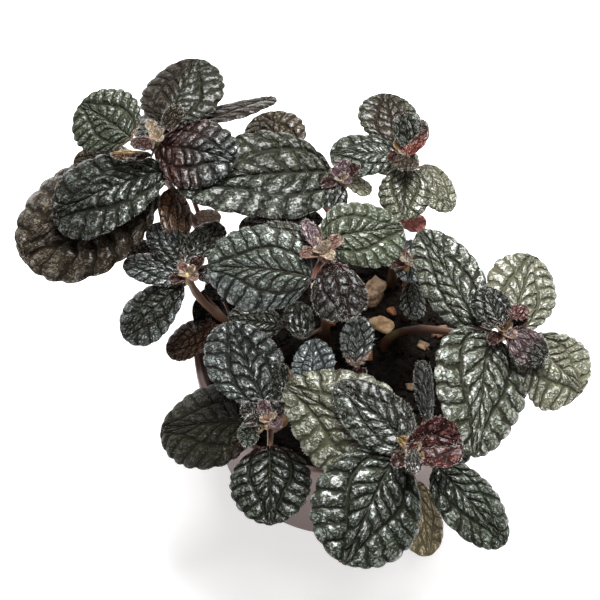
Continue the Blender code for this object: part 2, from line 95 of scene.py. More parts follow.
class Signal:
    """A shader socket that takes part in arithmetic: each operator adds the Math node that it stands for."""

    def __init__(self, sheet: "Sheet", socket: bpy.types.NodeSocket) -> None:
        """Keeps the socket and the sheet that it is on.

        Args:
            sheet: The sheet that new nodes go on.
            socket: The output that is read.
        """
        self.sheet = sheet
        self.socket = socket

    def math(self, operation: str, first: Any, second: Any = None) -> "Signal":
        """Adds a Math node.

        Args:
            operation: The node's operation.
            first: Its first value or signal.
            second: Its second one, where it has two.

        Returns:
            The node's result.
        """
        values = {0: first} if second is None else {0: first, 1: second}
        made = self.sheet.node("ShaderNodeMath", {"operation": operation}, values)
        return Signal(self.sheet, made.outputs[0])

    def __add__(self, other: Any) -> "Signal":
        """This plus other."""
        return self.math("ADD", self, other)

    def __radd__(self, other: Any) -> "Signal":
        """Other plus this."""
        return self.math("ADD", other, self)

    def __sub__(self, other: Any) -> "Signal":
        """This minus other."""
        return self.math("SUBTRACT", self, other)

    def __rsub__(self, other: Any) -> "Signal":
        """Other minus this."""
        return self.math("SUBTRACT", other, self)

    def __mul__(self, other: Any) -> "Signal":
        """This times other."""
        return self.math("MULTIPLY", self, other)

    def __rmul__(self, other: Any) -> "Signal":
        """Other times this."""
        return self.math("MULTIPLY", other, self)

    def whole(self) -> "Signal":
        """The whole number below."""
        return self.math("FLOOR", self)

    def size(self) -> "Signal":
        """The value without its sign."""
        return self.math("ABSOLUTE", self)

    def most(self, other: Any) -> "Signal":
        """The larger of this and other."""
        return self.math("MAXIMUM", self, other)

    def zigzag(self) -> "Signal":
        """0 at every whole number and 1 halfway between them."""
        return self.math("PINGPONG", self, 0.5) * 2.0

    def step(self, low: float, high: float) -> "Signal":
        """A smooth step from 0 at one value to 1 at another.

        Args:
            low: The value where the step is 0.
            high: The value where it is 1, which may be the smaller of the two.

        Returns:
            The step's height.
        """
        values = {"Value": self, "From Min": low, "From Max": high, "To Min": 0.0, "To Max": 1.0}
        node = self.sheet.node("ShaderNodeMapRange", {"interpolation_type": "SMOOTHSTEP"}, values)
        return Signal(self.sheet, node.outputs["Result"])


class Sheet:
    """The node tree of one finish, with its Principled shader ready."""

    def __init__(self, name: str, **constants: Any) -> None:
        """Starts a material.

        Args:
            name: The material's name.
            constants: Values for the shader's own sockets, by their names with underscores for spaces.
        """
        self.material = bpy.data.materials.new(name)
        self.material.use_nodes = True
        self.tree = self.material.node_tree
        self.shader = self.tree.nodes["Principled BSDF"]
        for key, value in constants.items():
            self.shader.inputs[key.replace("_", " ")].default_value = value

    def node(self, kind: str, settings: dict[str, Any], values: dict[Any, Any]) -> bpy.types.Node:
        """Adds any node.

        Args:
            kind: The node's type.
            settings: Its settings, such as an operation, which are set first.
            values: A value, socket or signal for each of its sockets, by name or place.

        Returns:
            The node.
        """
        made = self.tree.nodes.new(kind)
        for key, value in settings.items():
            setattr(made, key, value)
        for key, value in values.items():
            socket = made.inputs[key]
            if isinstance(value, Signal):
                self.tree.links.new(value.socket, socket)
            elif isinstance(value, bpy.types.NodeSocket):
                self.tree.links.new(value, socket)
            elif isinstance(value, tuple) and len(value) == 3 and socket.type == "RGBA":
                socket.default_value = (*value, 1.0)
            else:
                socket.default_value = value
        return made

    def place(self) -> bpy.types.NodeSocket:
        """The point's place in the object's own frame."""
        return self.node("ShaderNodeTexCoord", {}, {}).outputs["Object"]

    def pair(self, name: str) -> tuple[Signal, Signal]:
        """Reads one of the piece's UV maps.

        Args:
            name: The map's name.

        Returns:
            Its two values.
        """
        chart = self.node("ShaderNodeUVMap", {"uv_map": name}, {}).outputs["UV"]
        parts = self.node("ShaderNodeSeparateXYZ", {}, {0: chart})
        return Signal(self, parts.outputs[0]), Signal(self, parts.outputs[1])

    def attribute(self, name: str) -> bpy.types.Node:
        """The node that reads one of the piece's colour attributes."""
        return self.node("ShaderNodeAttribute", {"attribute_name": name}, {})

    def noise(self, scale: float, detail: float = 2.0, roughness: float = 0.5) -> Signal:
        """Soft noise from 0 to 1, with this many lumps to a metre."""
        values = {"Vector": self.place(), "Scale": scale, "Detail": detail, "Roughness": roughness}
        return Signal(self, self.node("ShaderNodeTexNoise", {}, values).outputs["Fac"])

    def wander(self, scale: float) -> tuple[Signal, Signal, Signal]:
        """Three soft noises that don't follow each other.

        Args:
            scale: How many lumps there are to a metre.

        Returns:
            The three values, each about 0.
        """
        values = {"Vector": self.place(), "Scale": scale, "Detail": 2.0}
        field = self.node("ShaderNodeTexNoise", {}, values).outputs["Color"]
        parts = self.node("ShaderNodeSeparateXYZ", {}, {0: field})
        return tuple(Signal(self, output) - 0.5 for output in parts.outputs)

    def creases(self, scale: float, twist: float) -> Signal:
        """Fine crumpled ridges.

        Args:
            scale: How many there are to a metre.
            twist: How strongly they are crumpled.

        Returns:
            1 along the ridges and 0 between them.
        """
        values = {"Vector": self.place(), "Scale": scale, "Detail": 2.0, "Distortion": twist}
        field = Signal(self, self.node("ShaderNodeTexNoise", {}, values).outputs["Fac"])
        return 1.0 - (field - 0.5).size().step(0.0, 0.08)

    def cells(self, scale: float) -> Signal:
        """The distance to the nearest of many scattered points, with this many to a metre."""
        values = {"Vector": self.place(), "Scale": scale}
        return Signal(self, self.node("ShaderNodeTexVoronoi", {}, values).outputs["Distance"])

    def mix(self, factor: Any, first: Any, second: Any) -> bpy.types.NodeSocket:
        """A colour between two, from the first at 0 to the second at 1."""
        settings = {"data_type": "RGBA", "clamp_factor": True}
        return self.node("ShaderNodeMix", settings, {0: factor, 6: first, 7: second}).outputs[2]

    def feed(self, socket: str, value: Any) -> None:
        """Links a value that varies over the surface to the shader."""
        source = value.socket if isinstance(value, Signal) else value
        self.tree.links.new(source, self.shader.inputs[socket])

    def emboss(self, height: Signal, depth_mm: float, strength: float = 1.0) -> None:
        """Feeds the shader's normal from a height, 1 of which stands this far proud."""
        values = {"Height": height, "Distance": depth_mm * MM, "Strength": strength}
        self.feed("Normal", self.node("ShaderNodeBump", {}, values).outputs["Normal"])


@dataclass(frozen=True)
class LeafTopFinish:
    """The glossy upper side of a leaf: dark grooves round silvery blistered pads, pale veins near the foot,
    with painted highlight on the blister tops and painted shade in the grooves and creases.

    Scales count lumps to a metre. Rungs and halves say how finely each pad is divided into blisters.
    """

    groove_roughness: float = 0.6
    pad_roughness: float = 0.3
    metal: float = 0.32
    # the silvery colour on the blister tops: partly the leaf's own silver, partly a painted sheen
    silver_sheen_fleck: Colour = paint(186, 196, 198)
    wander_scale: float = 260.0
    grain_scale: float = 1100.0
    spark_scale: float = 560.0
    crease_scale: float = 340.0
    crease_twist: float = 1.2
    rungs: float = 3.4
    halves: float = 2.0
    relief_mm: float = 0.9

    def material(self) -> bpy.types.Material:
        """Builds the material, which reads the leaf's own maps and colours.

        Returns:
            The material.
        """
        sheet = Sheet("leaf_top", IOR=1.45, Specular_IOR_Level=0.12, Coat_Roughness=0.15)
        phase, band = sheet.pair("quilt")
        along, across = sheet.pair("span")
        sway, lean, skew = sheet.wander(self.wander_scale)
        grain = sheet.noise(self.grain_scale, 3.0, 0.6)
        spark = sheet.noise(self.spark_scale).step(0.42, 0.62)
        rib = (phase + sway * 0.75).zigzag()
        flank = (band + lean * 0.32).zigzag()
        tip = along.step(0.86, 0.97)
        pad = rib.step(0.06, 0.42) * flank.step(0.03, 0.26) * (1.0 - tip) + tip * 0.6
        rung = (band * self.rungs + skew * 2.8 + phase.whole() * 0.37).zigzag().step(0.0, 0.5)
        split = (phase * self.halves + lean * 2.2 + 0.5).zigzag().step(0.0, 0.45)
        crease = sheet.creases(self.crease_scale, self.crease_twist)
        blister = (rung * 0.85 + 0.15) * (split * 0.45 + 0.55) * (1.0 - crease * 0.9)
        tint = sheet.attribute("pad")
        silver = Signal(sheet, tint.outputs["Alpha"])
        ground = sheet.attribute("ground").outputs["Color"]
        # painted light: the pads' colour is lighter on the blister tops and darker in the creases and
        # grooves, partly the leaf's own pattern and partly painted highlight and painted shade of the relief
        lit = pad * (0.1 + blister * 0.98) * (0.85 + skew * 1.1)
        colour = sheet.mix(lit, ground, tint.outputs["Color"])
        # painted sheen: a speckled silvery colour on the blister tops, partly the leaf's own silver
        silver_sheen_fleck = pad * blister.step(0.4, 1.0) * (0.3 + spark * 0.7) * silver
        colour = sheet.mix(silver_sheen_fleck * 0.4, colour, self.silver_sheen_fleck)
        sheet.feed("Base Color", self.veined(sheet, colour, rib, along, across))
        sheet.feed("Metallic", (silver_sheen_fleck * 0.7 + lit * 0.3) * silver * self.metal)
        sheet.feed("Coat Weight", pad * (silver * 0.8 + 0.2) * (spark * 0.85 + 0.15))
        polish = pad * (silver * 0.7 + 0.3) * (self.groove_roughness - self.pad_roughness)
        sheet.feed("Roughness", self.groove_roughness + (grain - 0.5) * 0.1 - polish)
        height = pad * 0.6 + blister * pad * 0.9 + spark * pad * 0.12 + grain * 0.06
        sheet.emboss(height, self.relief_mm)
        return sheet.material

    def veined(self, sheet: Sheet, colour: bpy.types.NodeSocket, rib: Signal, along: Signal,
               across: Signal) -> bpy.types.NodeSocket:
        """Draws the midrib, the two lateral veins and the threads between the cells over a colour.

        Args:
            sheet: The sheet that the nodes go on.
            colour: The colour under the veins.
            rib: 0 on the threads between the cells and 1 halfway between them.
            along: From 0 at the leaf's foot to 1 at its tip.
            across: From -1 on the right edge to 1 on the left one.

        Returns:
            The colour with its veins.
        """
        middle = (0.015 - across.size()).step(0.0, 0.01)
        lateral = (0.014 - (across.size() - 0.5).size()).step(0.0, 0.01)
        thread = (0.06 - rib).step(0.0, 0.05) * 0.5
        vein = sheet.attribute("vein")
        shown = Signal(sheet, vein.outputs["Alpha"]) * (0.75 - along.step(0.1, 0.6) * 0.55)
        drawn = middle.most(lateral * 0.35).most(thread * 0.6) * shown
        return sheet.mix(drawn, colour, vein.outputs["Color"])


@dataclass(frozen=True)
class UndersideFinish:
    """The dull purple-brown underside of a leaf, with its veins standing proud."""

    flush: Colour = paint(92, 44, 40)
    vein: Colour = paint(150, 110, 92)
    roughness: float = 0.6
    grain_scale: float = 700.0
    relief_mm: float = 0.5

    def material(self) -> bpy.types.Material:
        """Builds the material.

        Returns:
            The material.
        """
        sheet = Sheet("leaf_underside", Roughness=self.roughness)
        phase, band = sheet.pair("quilt")
        raised = 1.0 - phase.zigzag().step(0.0, 0.22) * band.zigzag().step(0.0, 0.16)
        grain = sheet.noise(self.grain_scale, 3.0)
        ground = sheet.attribute("pad").outputs["Color"]
        colour = sheet.mix(0.35 + grain * 0.6, ground, self.flush)
        sheet.feed("Base Color", sheet.mix(raised * 0.35, colour, self.vein))
        sheet.emboss(raised + grain * 0.3, self.relief_mm, 0.8)
        return sheet.material


@dataclass(frozen=True)
class StalkFinish:
    """The fleshy stems and leaf stalks: the colour of their attribute, faintly streaked."""

    roughness: float = 0.45
    streak: Colour = paint(58, 34, 24)
    streak_scale: float = 520.0
    patch: Colour = paint(120, 116, 62)
    patch_scale: float = 110.0
    relief_mm: float = 0.3

    def material(self) -> bpy.types.Material:
        """Builds the material.

        Returns:
            The material.
        """
        sheet = Sheet("stalk", Coat_Weight=0.15)
        streak = sheet.noise(self.streak_scale, 3.0, 0.6)
        patch = sheet.noise(self.patch_scale)
        tint = sheet.attribute("ground").outputs["Color"]
        dark = sheet.mix(streak.step(0.45, 0.8) * 0.5, tint, self.streak)
        sheet.feed("Base Color", sheet.mix(patch.step(0.5, 0.85) * 0.4, dark, self.patch))
        sheet.feed("Roughness", self.roughness + (streak - 0.5) * 0.2)
        sheet.emboss(streak, self.relief_mm, 0.6)
        return sheet.material


@dataclass(frozen=True)
class HairFinish:
    """The fine pale hairs on leaves and stems."""

    dark: Colour = paint(150, 146, 134)
    light: Colour = paint(226, 224, 212)
    clump_scale: float = 260.0

    def material(self) -> bpy.types.Material:
        """Builds the material.

        Returns:
            The material.
        """
        sheet = Sheet("hair", Roughness=0.4, Coat_Weight=0.2)
        clump = sheet.noise(self.clump_scale).step(0.35, 0.65)
        sheet.feed("Base Color", sheet.mix(clump, self.dark, self.light))
        return sheet.material


@dataclass(frozen=True)
class SoilFinish:
    """Dark moist potting mix, its colours darkened further as painted shade."""

    # the mix's colours, darkened as painted shade of the leaves above it
    dark: Colour = paint(9, 7, 5)
    light: Colour = paint(36, 28, 21)
    crumb_scale: float = 420.0
    fibre_scale: float = 700.0
    relief_mm: float = 1.4

    def material(self) -> bpy.types.Material:
        """Builds the material.

        Returns:
            The material.
        """
        sheet = Sheet("soil_mix", Specular_IOR_Level=0.12)
        crumb = sheet.noise(self.crumb_scale, 5.0, 0.7)
        fibre = sheet.cells(self.fibre_scale)
        sheet.feed("Base Color", sheet.mix(crumb.step(0.42, 0.72), self.dark, self.light))
        sheet.feed("Roughness", 0.75 + crumb * 0.25)
        sheet.emboss(crumb + fibre * 0.5, self.relief_mm, 0.9)
        return sheet.material


@dataclass(frozen=True)
class BarkFinish:
    """Dry bark with darker growth lines."""

    name: str
    dark: Colour
    light: Colour
    line_scale: float = 300.0
    wear_scale: float = 900.0
    relief_mm: float = 0.8

    def material(self) -> bpy.types.Material:
        """Builds the material.

        Returns:
            The material.
        """
        sheet = Sheet(self.name, Specular_IOR_Level=0.3)
        lines = sheet.noise(self.line_scale, 4.0, 0.65)
        wear = sheet.noise(self.wear_scale)
        sheet.feed("Base Color", sheet.mix(lines.step(0.35, 0.62), self.dark, self.light))
        sheet.feed("Roughness", 0.7 + wear * 0.25)
        sheet.emboss(lines + wear * 0.4, self.relief_mm, 0.8)
        return sheet.material


class Bark(Enum):
    """The kinds of bark chip."""

    TAN = BarkFinish("bark_tan", paint(94, 74, 56), paint(158, 134, 108))
    BRIGHT = BarkFinish("bark_bright", paint(150, 118, 84), paint(206, 176, 138))
    BROWN = BarkFinish("bark_brown", paint(70, 44, 28), paint(140, 92, 60))


@dataclass(frozen=True)
class PlasticFinish:
    """Matt mauve-brown moulded plastic, darker in soft patches and dusty here and there."""

    body: Colour = paint(118, 98, 94)
    dust: Colour = paint(150, 136, 130)
    shade: Colour = paint(96, 78, 74)
    cloud_scale: float = 28.0
    speck_scale: float = 900.0
    stain_scale: float = 75.0
    relief_mm: float = 0.12

    def material(self) -> bpy.types.Material:
        """Builds the material.

        Returns:
            The material.
        """
        sheet = Sheet("pot_plastic_matt", IOR=1.46)
        cloud = sheet.noise(self.cloud_scale, 4.0, 0.55)
        speck = sheet.noise(self.speck_scale)
        stain = sheet.noise(self.stain_scale, 5.0, 0.7)
        colour = sheet.mix(cloud.step(0.35, 0.7) * 0.45, self.body, self.shade)
        colour = sheet.mix(stain.step(0.56, 0.72) * 0.35, colour, self.dust)
        sheet.feed("Base Color", colour)
        sheet.feed("Roughness", 0.42 + speck * 0.16 + stain.step(0.5, 0.75) * 0.18)
        sheet.emboss(speck + cloud * 0.3, self.relief_mm, 0.5)
        return sheet.material


@dataclass(frozen=True)
class FloorFinish:
    """The plain white paper that the pot stands on."""

    colour: Colour = (0.8, 0.8, 0.8)
    mottle: Colour = (0.77, 0.77, 0.77)
    mottle_scale: float = 3.0
    lift: float = 0.72

    def material(self) -> bpy.types.Material:
        """Builds the material.

        Returns:
            The material.
        """
        glow = {"Emission_Color": (*self.colour, 1.0), "Emission_Strength": self.lift}
        sheet = Sheet("white_floor", Roughness=0.9, **glow)
        mottle = sheet.noise(self.mottle_scale) * 0.3
        sheet.feed("Base Color", sheet.mix(mottle, self.colour, self.mottle))
        return sheet.material


@dataclass(frozen=True)
class Tone:
    """The colours of one kind of leaf."""

    ground: Colour
    pad: Colour
    vein: Colour = paint(116, 118, 90)
    vein_strength: float = 0.4
    silver: float = 0.8


class Tones(Enum):
    """The leaf colours that the plant shows."""

    GREEN = Tone(paint(36, 40, 26), paint(86, 92, 76), silver=1.0)
    VEINED = Tone(paint(40, 44, 34), paint(92, 98, 88), paint(178, 158, 138), 1.0, silver=1.0)
    FRESH = Tone(paint(58, 62, 42), paint(98, 104, 84), paint(170, 176, 150), 0.8, silver=0.6)
    SILVER = Tone(paint(44, 44, 30), paint(116, 120, 104), silver=1.0)
    GARNET = Tone(paint(46, 18, 14), paint(98, 42, 35), paint(150, 90, 78), 0.6, silver=0.3)
    FROST = Tone(paint(62, 68, 64), paint(146, 156, 158), silver=1.0)
    OLIVE = Tone(paint(54, 54, 36), paint(94, 95, 76), silver=0.65)
    BRONZE = Tone(paint(44, 33, 21), paint(84, 73, 57), silver=0.35)
    BLUE = Tone(paint(30, 33, 29), paint(94, 99, 95), silver=1.0)
    DARK = Tone(paint(24, 22, 13), paint(56, 58, 46), silver=0.55)
    PURPLE = Tone(paint(36, 28, 23), paint(74, 67, 60), paint(130, 60, 56), 0.8, silver=0.7)
    SAGE = Tone(paint(78, 78, 58), paint(138, 138, 118), paint(160, 160, 140), 0.4, silver=0.65)
    PALE = Tone(paint(98, 96, 74), paint(158, 158, 138), paint(176, 172, 144), 0.5, silver=0.75)
    PINK = Tone(paint(140, 98, 84), paint(196, 158, 142), paint(226, 186, 172), 1.0, silver=0.4)
    CREAM = Tone(paint(186, 158, 126), paint(232, 214, 188), paint(238, 222, 200), 1.0, silver=0.2)
    LILAC = Tone(paint(84, 58, 62), paint(146, 118, 124), paint(190, 158, 168), 0.6, silver=0.6)
    CRIMSON = Tone(paint(76, 28, 22), paint(126, 66, 54), paint(176, 96, 84), 0.8, silver=0.3)
    MAROON = Tone(paint(42, 20, 14), paint(84, 48, 38), paint(120, 60, 50), 0.6, silver=0.35)
    RUSSET = Tone(paint(52, 32, 17), paint(102, 72, 48), paint(120, 84, 60), 0.7, silver=0.25)
    OCHRE = Tone(paint(120, 88, 44), paint(184, 152, 96), paint(200, 176, 126), 0.6, silver=0.2)
    MOSS = Tone(paint(36, 34, 18), paint(52, 50, 34), silver=0.2)
    # ROSE is lightened beyond the leaf's own rose colour: painted light on a leaf that lies in shade
    ROSE = Tone(paint(238, 128, 120), paint(250, 166, 160), paint(250, 190, 182), 0.5, silver=0.1)
    KHAKI = Tone(paint(84, 76, 54), paint(132, 122, 96), paint(150, 128, 104), 0.8, silver=0.1)


class Where(Enum):
    """The part of a leaf that its second tone covers."""

    TIP = "tip"
    LEFT = "left"
    RIGHT = "right"
    LEFT_BAND = "left_band"
    RIM = "rim"
    FOOT = "foot"
    HEEL = "heel"

    def mask(self, along: np.ndarray, across: np.ndarray) -> np.ndarray:
        """How much of each point the second tone covers.

        Args:
            along: From 0 at the leaf's foot to 1 at its tip.
            across: From -1 on the right edge to 1 on the left one.

        Returns:
            From 0 to 1 at each point.
        """
        masks = {
            Where.TIP: lambda: ease(0.35, 0.8, along),
            Where.LEFT: lambda: ease(-0.2, 0.3, across),
            Where.RIGHT: lambda: ease(-0.2, 0.3, -across),
            Where.LEFT_BAND: lambda: ease(0.45, 0.6, across),
            Where.RIM: lambda: ease(0.55, 0.95, np.abs(across)),
            Where.FOOT: lambda: 1 - ease(0.12, 0.42, along),
            Where.HEEL: lambda: 1 - ease(0.06, 0.24, along),
        }
        return masks[self]()


@dataclass(frozen=True)
class Growth:
    """How a leaf of one age is made: its cells, how finely they are divided, its relief and its hairs."""

    cells: int
    steps: int
    columns: int
    relief: float
    rim_hairs: float
    face_hairs: float
    hair_mm: float


class Age(Enum):
    """The ages of the leaves, from the large lower pairs to those that are still opening."""

    FULL = Growth(cells=10, steps=9, columns=13, relief=1.35, rim_hairs=0.9, face_hairs=0.05, hair_mm=1.1)
    HALF = Growth(cells=9, steps=7, columns=10, relief=1.15, rim_hairs=1.2, face_hairs=0.12, hair_mm=1.2)
    SMOOTH = Growth(cells=10, steps=8, columns=12, relief=0.75, rim_hairs=0.9, face_hairs=0.05, hair_mm=1.1)
    HAIRY = Growth(cells=8, steps=7, columns=9, relief=1.0, rim_hairs=2.4, face_hairs=0.55, hair_mm=1.6)
    LOWER = Growth(cells=8, steps=5, columns=6, relief=1.0, rim_hairs=0.6, face_hairs=0.03, hair_mm=1.0)
    PLAIN = Growth(cells=8, steps=5, columns=6, relief=0.35, rim_hairs=0.5, face_hairs=0.02, hair_mm=1.0)
    YOUNG = Growth(cells=5, steps=6, columns=6, relief=0.8, rim_hairs=2.2, face_hairs=0.7, hair_mm=1.3)
    BUD = Growth(cells=3, steps=4, columns=3, relief=0.3, rim_hairs=2.0, face_hairs=0.8, hair_mm=1.0)


@dataclass(frozen=True)
class Leaf:
    """One leaf. Its base is measured from the rosette's centre, and its heading from +X towards +Y."""

    name: str
    base: Point
    heading: float
    pitch: float
    roll: float
    length: float
    width: float
    tone: Tones
    second: Tones | None = None
    where: Where = Where.TIP
    age: Age = Age.FULL
    bend: float = 20.0
    cup: float = 0.16
    stalked: bool = True
    shoulder: float = -0.12
    # light: how much lighter or darker the leaf's colours are than its tone, partly its own tone and partly
    # painted light that lifts leaves lying in shade and painted shade that darkens others
    light: float = 1.0

    STEADY, SLANT = 0.12, 0.62  # how the veins are spaced on the midrib, and how soon they sweep forward
    SCALLOP, SMALLEST_SCALLOP = 0.75, 0.45  # how far the edge's lobes stand out, and the least share of that
    FULL_WIDTH = 36.0  # the width at which a leaf has its full relief
    LATERAL = 0.52  # how far out the lateral veins run, as a share of the half width
    THICKNESS = 0.45
    # DEEP darkens the grooves' colour, partly their own dark colour and partly painted shade
    DEEP = 0.42  # how much of a tone's ground colour the grooves keep
    WOBBLE = 0.3  # how far the veins stray, in cells
    WAVE_COUNT, WAVE_TURN, WAVE_ASIDE, WAVE_SUM = 4, 6.3, 3.1, 2.6
    OUTER_SHIFT, LEFT_SHIFT = 0.5, 0.23  # how far the cells are out of step from band to band, in cells
    RUNGS, RUNG_SHIFT = 2.6, 0.37  # how many blisters cross a cell, and how they shift from cell to cell
    MIDRIB_DEPTH, MIDRIB_WIDTH, LATERAL_DEPTH = 0.6, 1.3, 0.4
    CURL = 0.9  # how far the edge turns down
    WAVES, FRILL = 0.55, 0.5  # how high the blade's slow waves are, and the finer ones near its edge
    RIM_HAIRS_PER_MM = 2.4
    FACE_HAIRS_PER_MM2 = 0.75

    def chance(self, use: str) -> np.random.Generator:
        """A seeded source of chance for one use on this leaf."""
        return np.random.default_rng([ord(letter) for letter in self.name + use])

    def frame_at(self, crown: Point, reach: np.ndarray) -> tuple[np.ndarray, ...]:
        """The midrib's points at distances from the base, with the forward, side and upward directions there.

        Args:
            crown: The rosette's centre.
            reach: The distances.

        Returns:
            Points, forwards, sides and normals, one row for each distance.
        """
        heading, pitch, roll = (math.radians(angle) for angle in (self.heading, self.pitch, self.roll))
        ahead = np.array((math.cos(heading), math.sin(heading), 0.0))
        side = np.array((-math.sin(heading), math.cos(heading), 0.0))
        up = np.array((0.0, 0.0, 1.0))
        turn = math.radians(self.bend) / self.length
        slope = (pitch - turn * reach)[:, None]
        run = (math.sin(pitch) - np.sin(slope)) / turn
        rise = (np.cos(slope) - math.cos(pitch)) / turn
        points = np.array(crown) + np.array(self.base) + ahead * run + up * rise
        forward = ahead * np.cos(slope) + up * np.sin(slope)
        normal = up * np.cos(slope) - ahead * np.sin(slope)
        return (
            points, forward,
            side * math.cos(roll) + normal * math.sin(roll),
            normal * math.cos(roll) - side * math.sin(roll),
        )

    def lateral(self, along: np.ndarray) -> np.ndarray:
        """How far out the lateral veins run, as a share of the half width."""
        return self.LATERAL * (1 - 0.6 * ease(0.45, 0.85, along))

    def ripple(self, use: str, along: np.ndarray, across: np.ndarray, fineness: float) -> np.ndarray:
        """Smooth waves over the blade, from about -1 to 1, the same each time for one use.

        Args:
            use: What the waves are for.
            along: From 0 at the foot to 1 at the tip.
            across: From -1 to 1.
            fineness: How many waves fit the blade, roughly.

        Returns:
            The waves at each point.
        """
        chance = self.chance(use)
        total = np.zeros_like(along)
        for _ in range(self.WAVE_COUNT):
            angle = self.WAVE_TURN * chance.random()
            start = self.WAVE_TURN * chance.random()
            pace = 0.6 + 0.8 * chance.random()
            course = self.WAVE_TURN * along * math.cos(angle) + self.WAVE_ASIDE * across * math.sin(angle)
            total += np.sin(fineness * pace * course + start)
        return total / self.WAVE_SUM

    def phase(self, along: np.ndarray, across: np.ndarray, outer: np.ndarray, left: np.ndarray) -> np.ndarray:
        """Which cell a point is in, counted from the foot. Veins run along the whole numbers.

        Args:
            along: From 0 at the foot to 1 at the tip.
            across: From -1 to 1.
            outer: True in the band between the lateral vein and the edge.
            left: True on the left half.

        Returns:
            The count at each point.
        """
        wobble = self.WOBBLE * self.ripple("wobble", along, across, 2.2)
        outline = (1 - np.cos(math.pi * along)) / 2
        spread = np.maximum(0, outline - along) * (1 - np.abs(across))
        count = self.age.value.cells * (along + spread)
        return count + self.OUTER_SHIFT * outer + self.LEFT_SHIFT * left + wobble

    def layout(self, along: np.ndarray, across: np.ndarray) -> tuple[np.ndarray, np.ndarray, np.ndarray]:
        """Where points lie on the flat blade, with its veins' forward slant and its scalloped edge.

        Args:
            along: From 0 at the foot to 1 at the tip, by equal steps round the outline.
            across: From -1 to 1. The lateral veins lie at 0.5 to either side.

        Returns:
            The share of the half width, the distance out from the midrib, and the distance from the foot.
        """
        level = np.abs(across)
        lateral = self.lateral(along)
        share = np.where(level > 0.5, lateral + (1 - lateral) * (2 * level - 1), lateral * 2 * level)
        swing = math.pi * along
        outline = (1 - np.cos(swing)) / 2
        foot = outline * (self.STEADY + (1 - self.STEADY) * outline**1.3)
        reach = self.length * (foot + (outline - foot) * share**self.SLANT)
        sideways = self.width / 2 * np.sin(swing) * (1 + self.shoulder * np.cos(swing)) * share
        count = self.phase(along, np.sign(across), np.ones_like(level), across > 0)
        lobe = 1 - np.abs(2 * (count % 1.0) - 1) ** 2.4
        size = max(self.width / self.FULL_WIDTH, self.SMALLEST_SCALLOP)
        out = self.SCALLOP * size * (1.5 * lobe - 1.0) * share**7 * np.sin(swing) ** 0.5
        return share, sideways + out * np.sin(swing), reach - out * np.cos(swing)

    def quilting(self, along: np.ndarray, across: np.ndarray) -> np.ndarray:
        """The height of the blistered cells, from 0 in the grooves to about 1 on the highest.

        Args:
            along: From 0 at the foot to 1 at the tip.
            across: From -1 to 1.

        Returns:
            The height at each point.
        """
        level = np.abs(across)
        outer, left = level > 0.5, across > 0
        count = self.phase(along, across, outer, left)
        rib = np.abs(2 * (count % 1.0) - 1)
        inner_v, outer_v = np.clip(2 * level, 0, 1), np.clip(2 * level - 1, 0, 1)
        inner_dome = (4 * inner_v * (1 - inner_v) + 1e-9) ** 0.4
        outer_dome = (1 - (1 - outer_v) ** 5) * (1 - 0.6 * outer_v**2)
        dome = np.where(outer, outer_dome, inner_dome)
        table = 0.65 + 0.6 * self.chance("cells").random((4, self.age.value.cells + 4))
        row = 2 * outer.astype(int) + left.astype(int)
        lively = table[row, np.clip(count.astype(int), 0, self.age.value.cells + 3)]
        wrinkle = 0.5 * self.ripple("wrinkle", along, across, 5.0)
        steps = self.RUNGS * np.where(outer, outer_v, inner_v) + self.RUNG_SHIFT * np.floor(count) + wrinkle
        rung = 1 - np.abs(2 * (steps % 1.0) - 1)
        halves = 1 - np.abs(2 * ((2 * count + wrinkle) % 1.0) - 1)
        blister = (0.55 + 0.45 * np.minimum(1, rung * 2.4)) * (0.75 + 0.25 * np.minimum(1, halves * 2.4))
        return (1 - rib**2.6) * dome * lively * blister

    def surface(self, crown: Point, along: np.ndarray, across: np.ndarray) -> np.ndarray:
        """Points of the upper side, with its cup, veins, blistered cells and scalloped edge.

        Args:
            crown: The rosette's centre.
            along: From 0 at the foot to 1 at the tip, by equal steps round the outline.
            across: From -1 to 1. The lateral veins lie at 0.5 to either side.

        Returns:
            The points, one row each.
        """
        size = self.width / self.FULL_WIDTH
        share, sideways, reach = self.layout(along, across)
        swing = np.sin(math.pi * along)
        half = self.width / 2 * swing
        close = ease(0.0, 0.05, along) * ease(0.0, 0.05, 1 - along)
        relief = self.age.value.relief * size * ease(0.0, 0.16, along) * ease(0.0, 0.08, 1 - along)
        height = relief * self.quilting(along, across)
        height -= relief * self.MIDRIB_DEPTH * np.exp(-((share * half) / (self.MIDRIB_WIDTH * size)) ** 2)
        valley = np.exp(-(((share - self.lateral(along)) * half) / size) ** 2)
        height -= relief * self.LATERAL_DEPTH * valley * ease(0.0, 0.2, 1 - along)
        height -= self.cup * sideways**2 / (self.width / 2)
        height -= self.CURL * size * ease(0.82, 1.05, share) ** 2 * close
        height += self.WAVES * size * self.ripple("waves", along, across, 1.3) * swing
        height += self.FRILL * size * self.ripple("frill", along, across, 3.0) * swing * share**3
        points, _, side, normal = self.frame_at(crown, reach)
        return points + side * (np.sign(across) * sideways)[:, None] + normal * height[:, None]

    def colours(self, along: np.ndarray, across: np.ndarray) -> dict[str, np.ndarray]:
        """The colour attributes of each point.

        Args:
            along: From 0 at the foot to 1 at the tip.
            across: From -1 to 1.

        Returns:
            Four channels a point for the ground, the pads and the veins.
        """
        tone = self.tone.value
        other = (self.second or self.tone).value
        mask = self.where.mask(along, across)[:, None]

        def blend(first: tuple[float, ...], then: tuple[float, ...]) -> np.ndarray:
            """The first colour where the second tone doesn't reach, and the other where it does."""
            return np.array(first) * (1 - mask) + np.array(then) * mask

        # painted light and shade: the leaf's light factor, with a little random tone
        shade = self.light * (0.94 + 0.12 * float(self.chance("shade").random()))
        pads = blend((*tone.pad, tone.silver), (*other.pad, other.silver)) * shade
        return {
            "ground": blend((*tone.ground, 1.0), (*other.ground, 1.0)) * shade * self.DEEP,
            "pad": np.minimum(pads, 1.0),
            "vein": blend((*tone.vein, tone.vein_strength), (*other.vein, other.vein_strength)),
        }

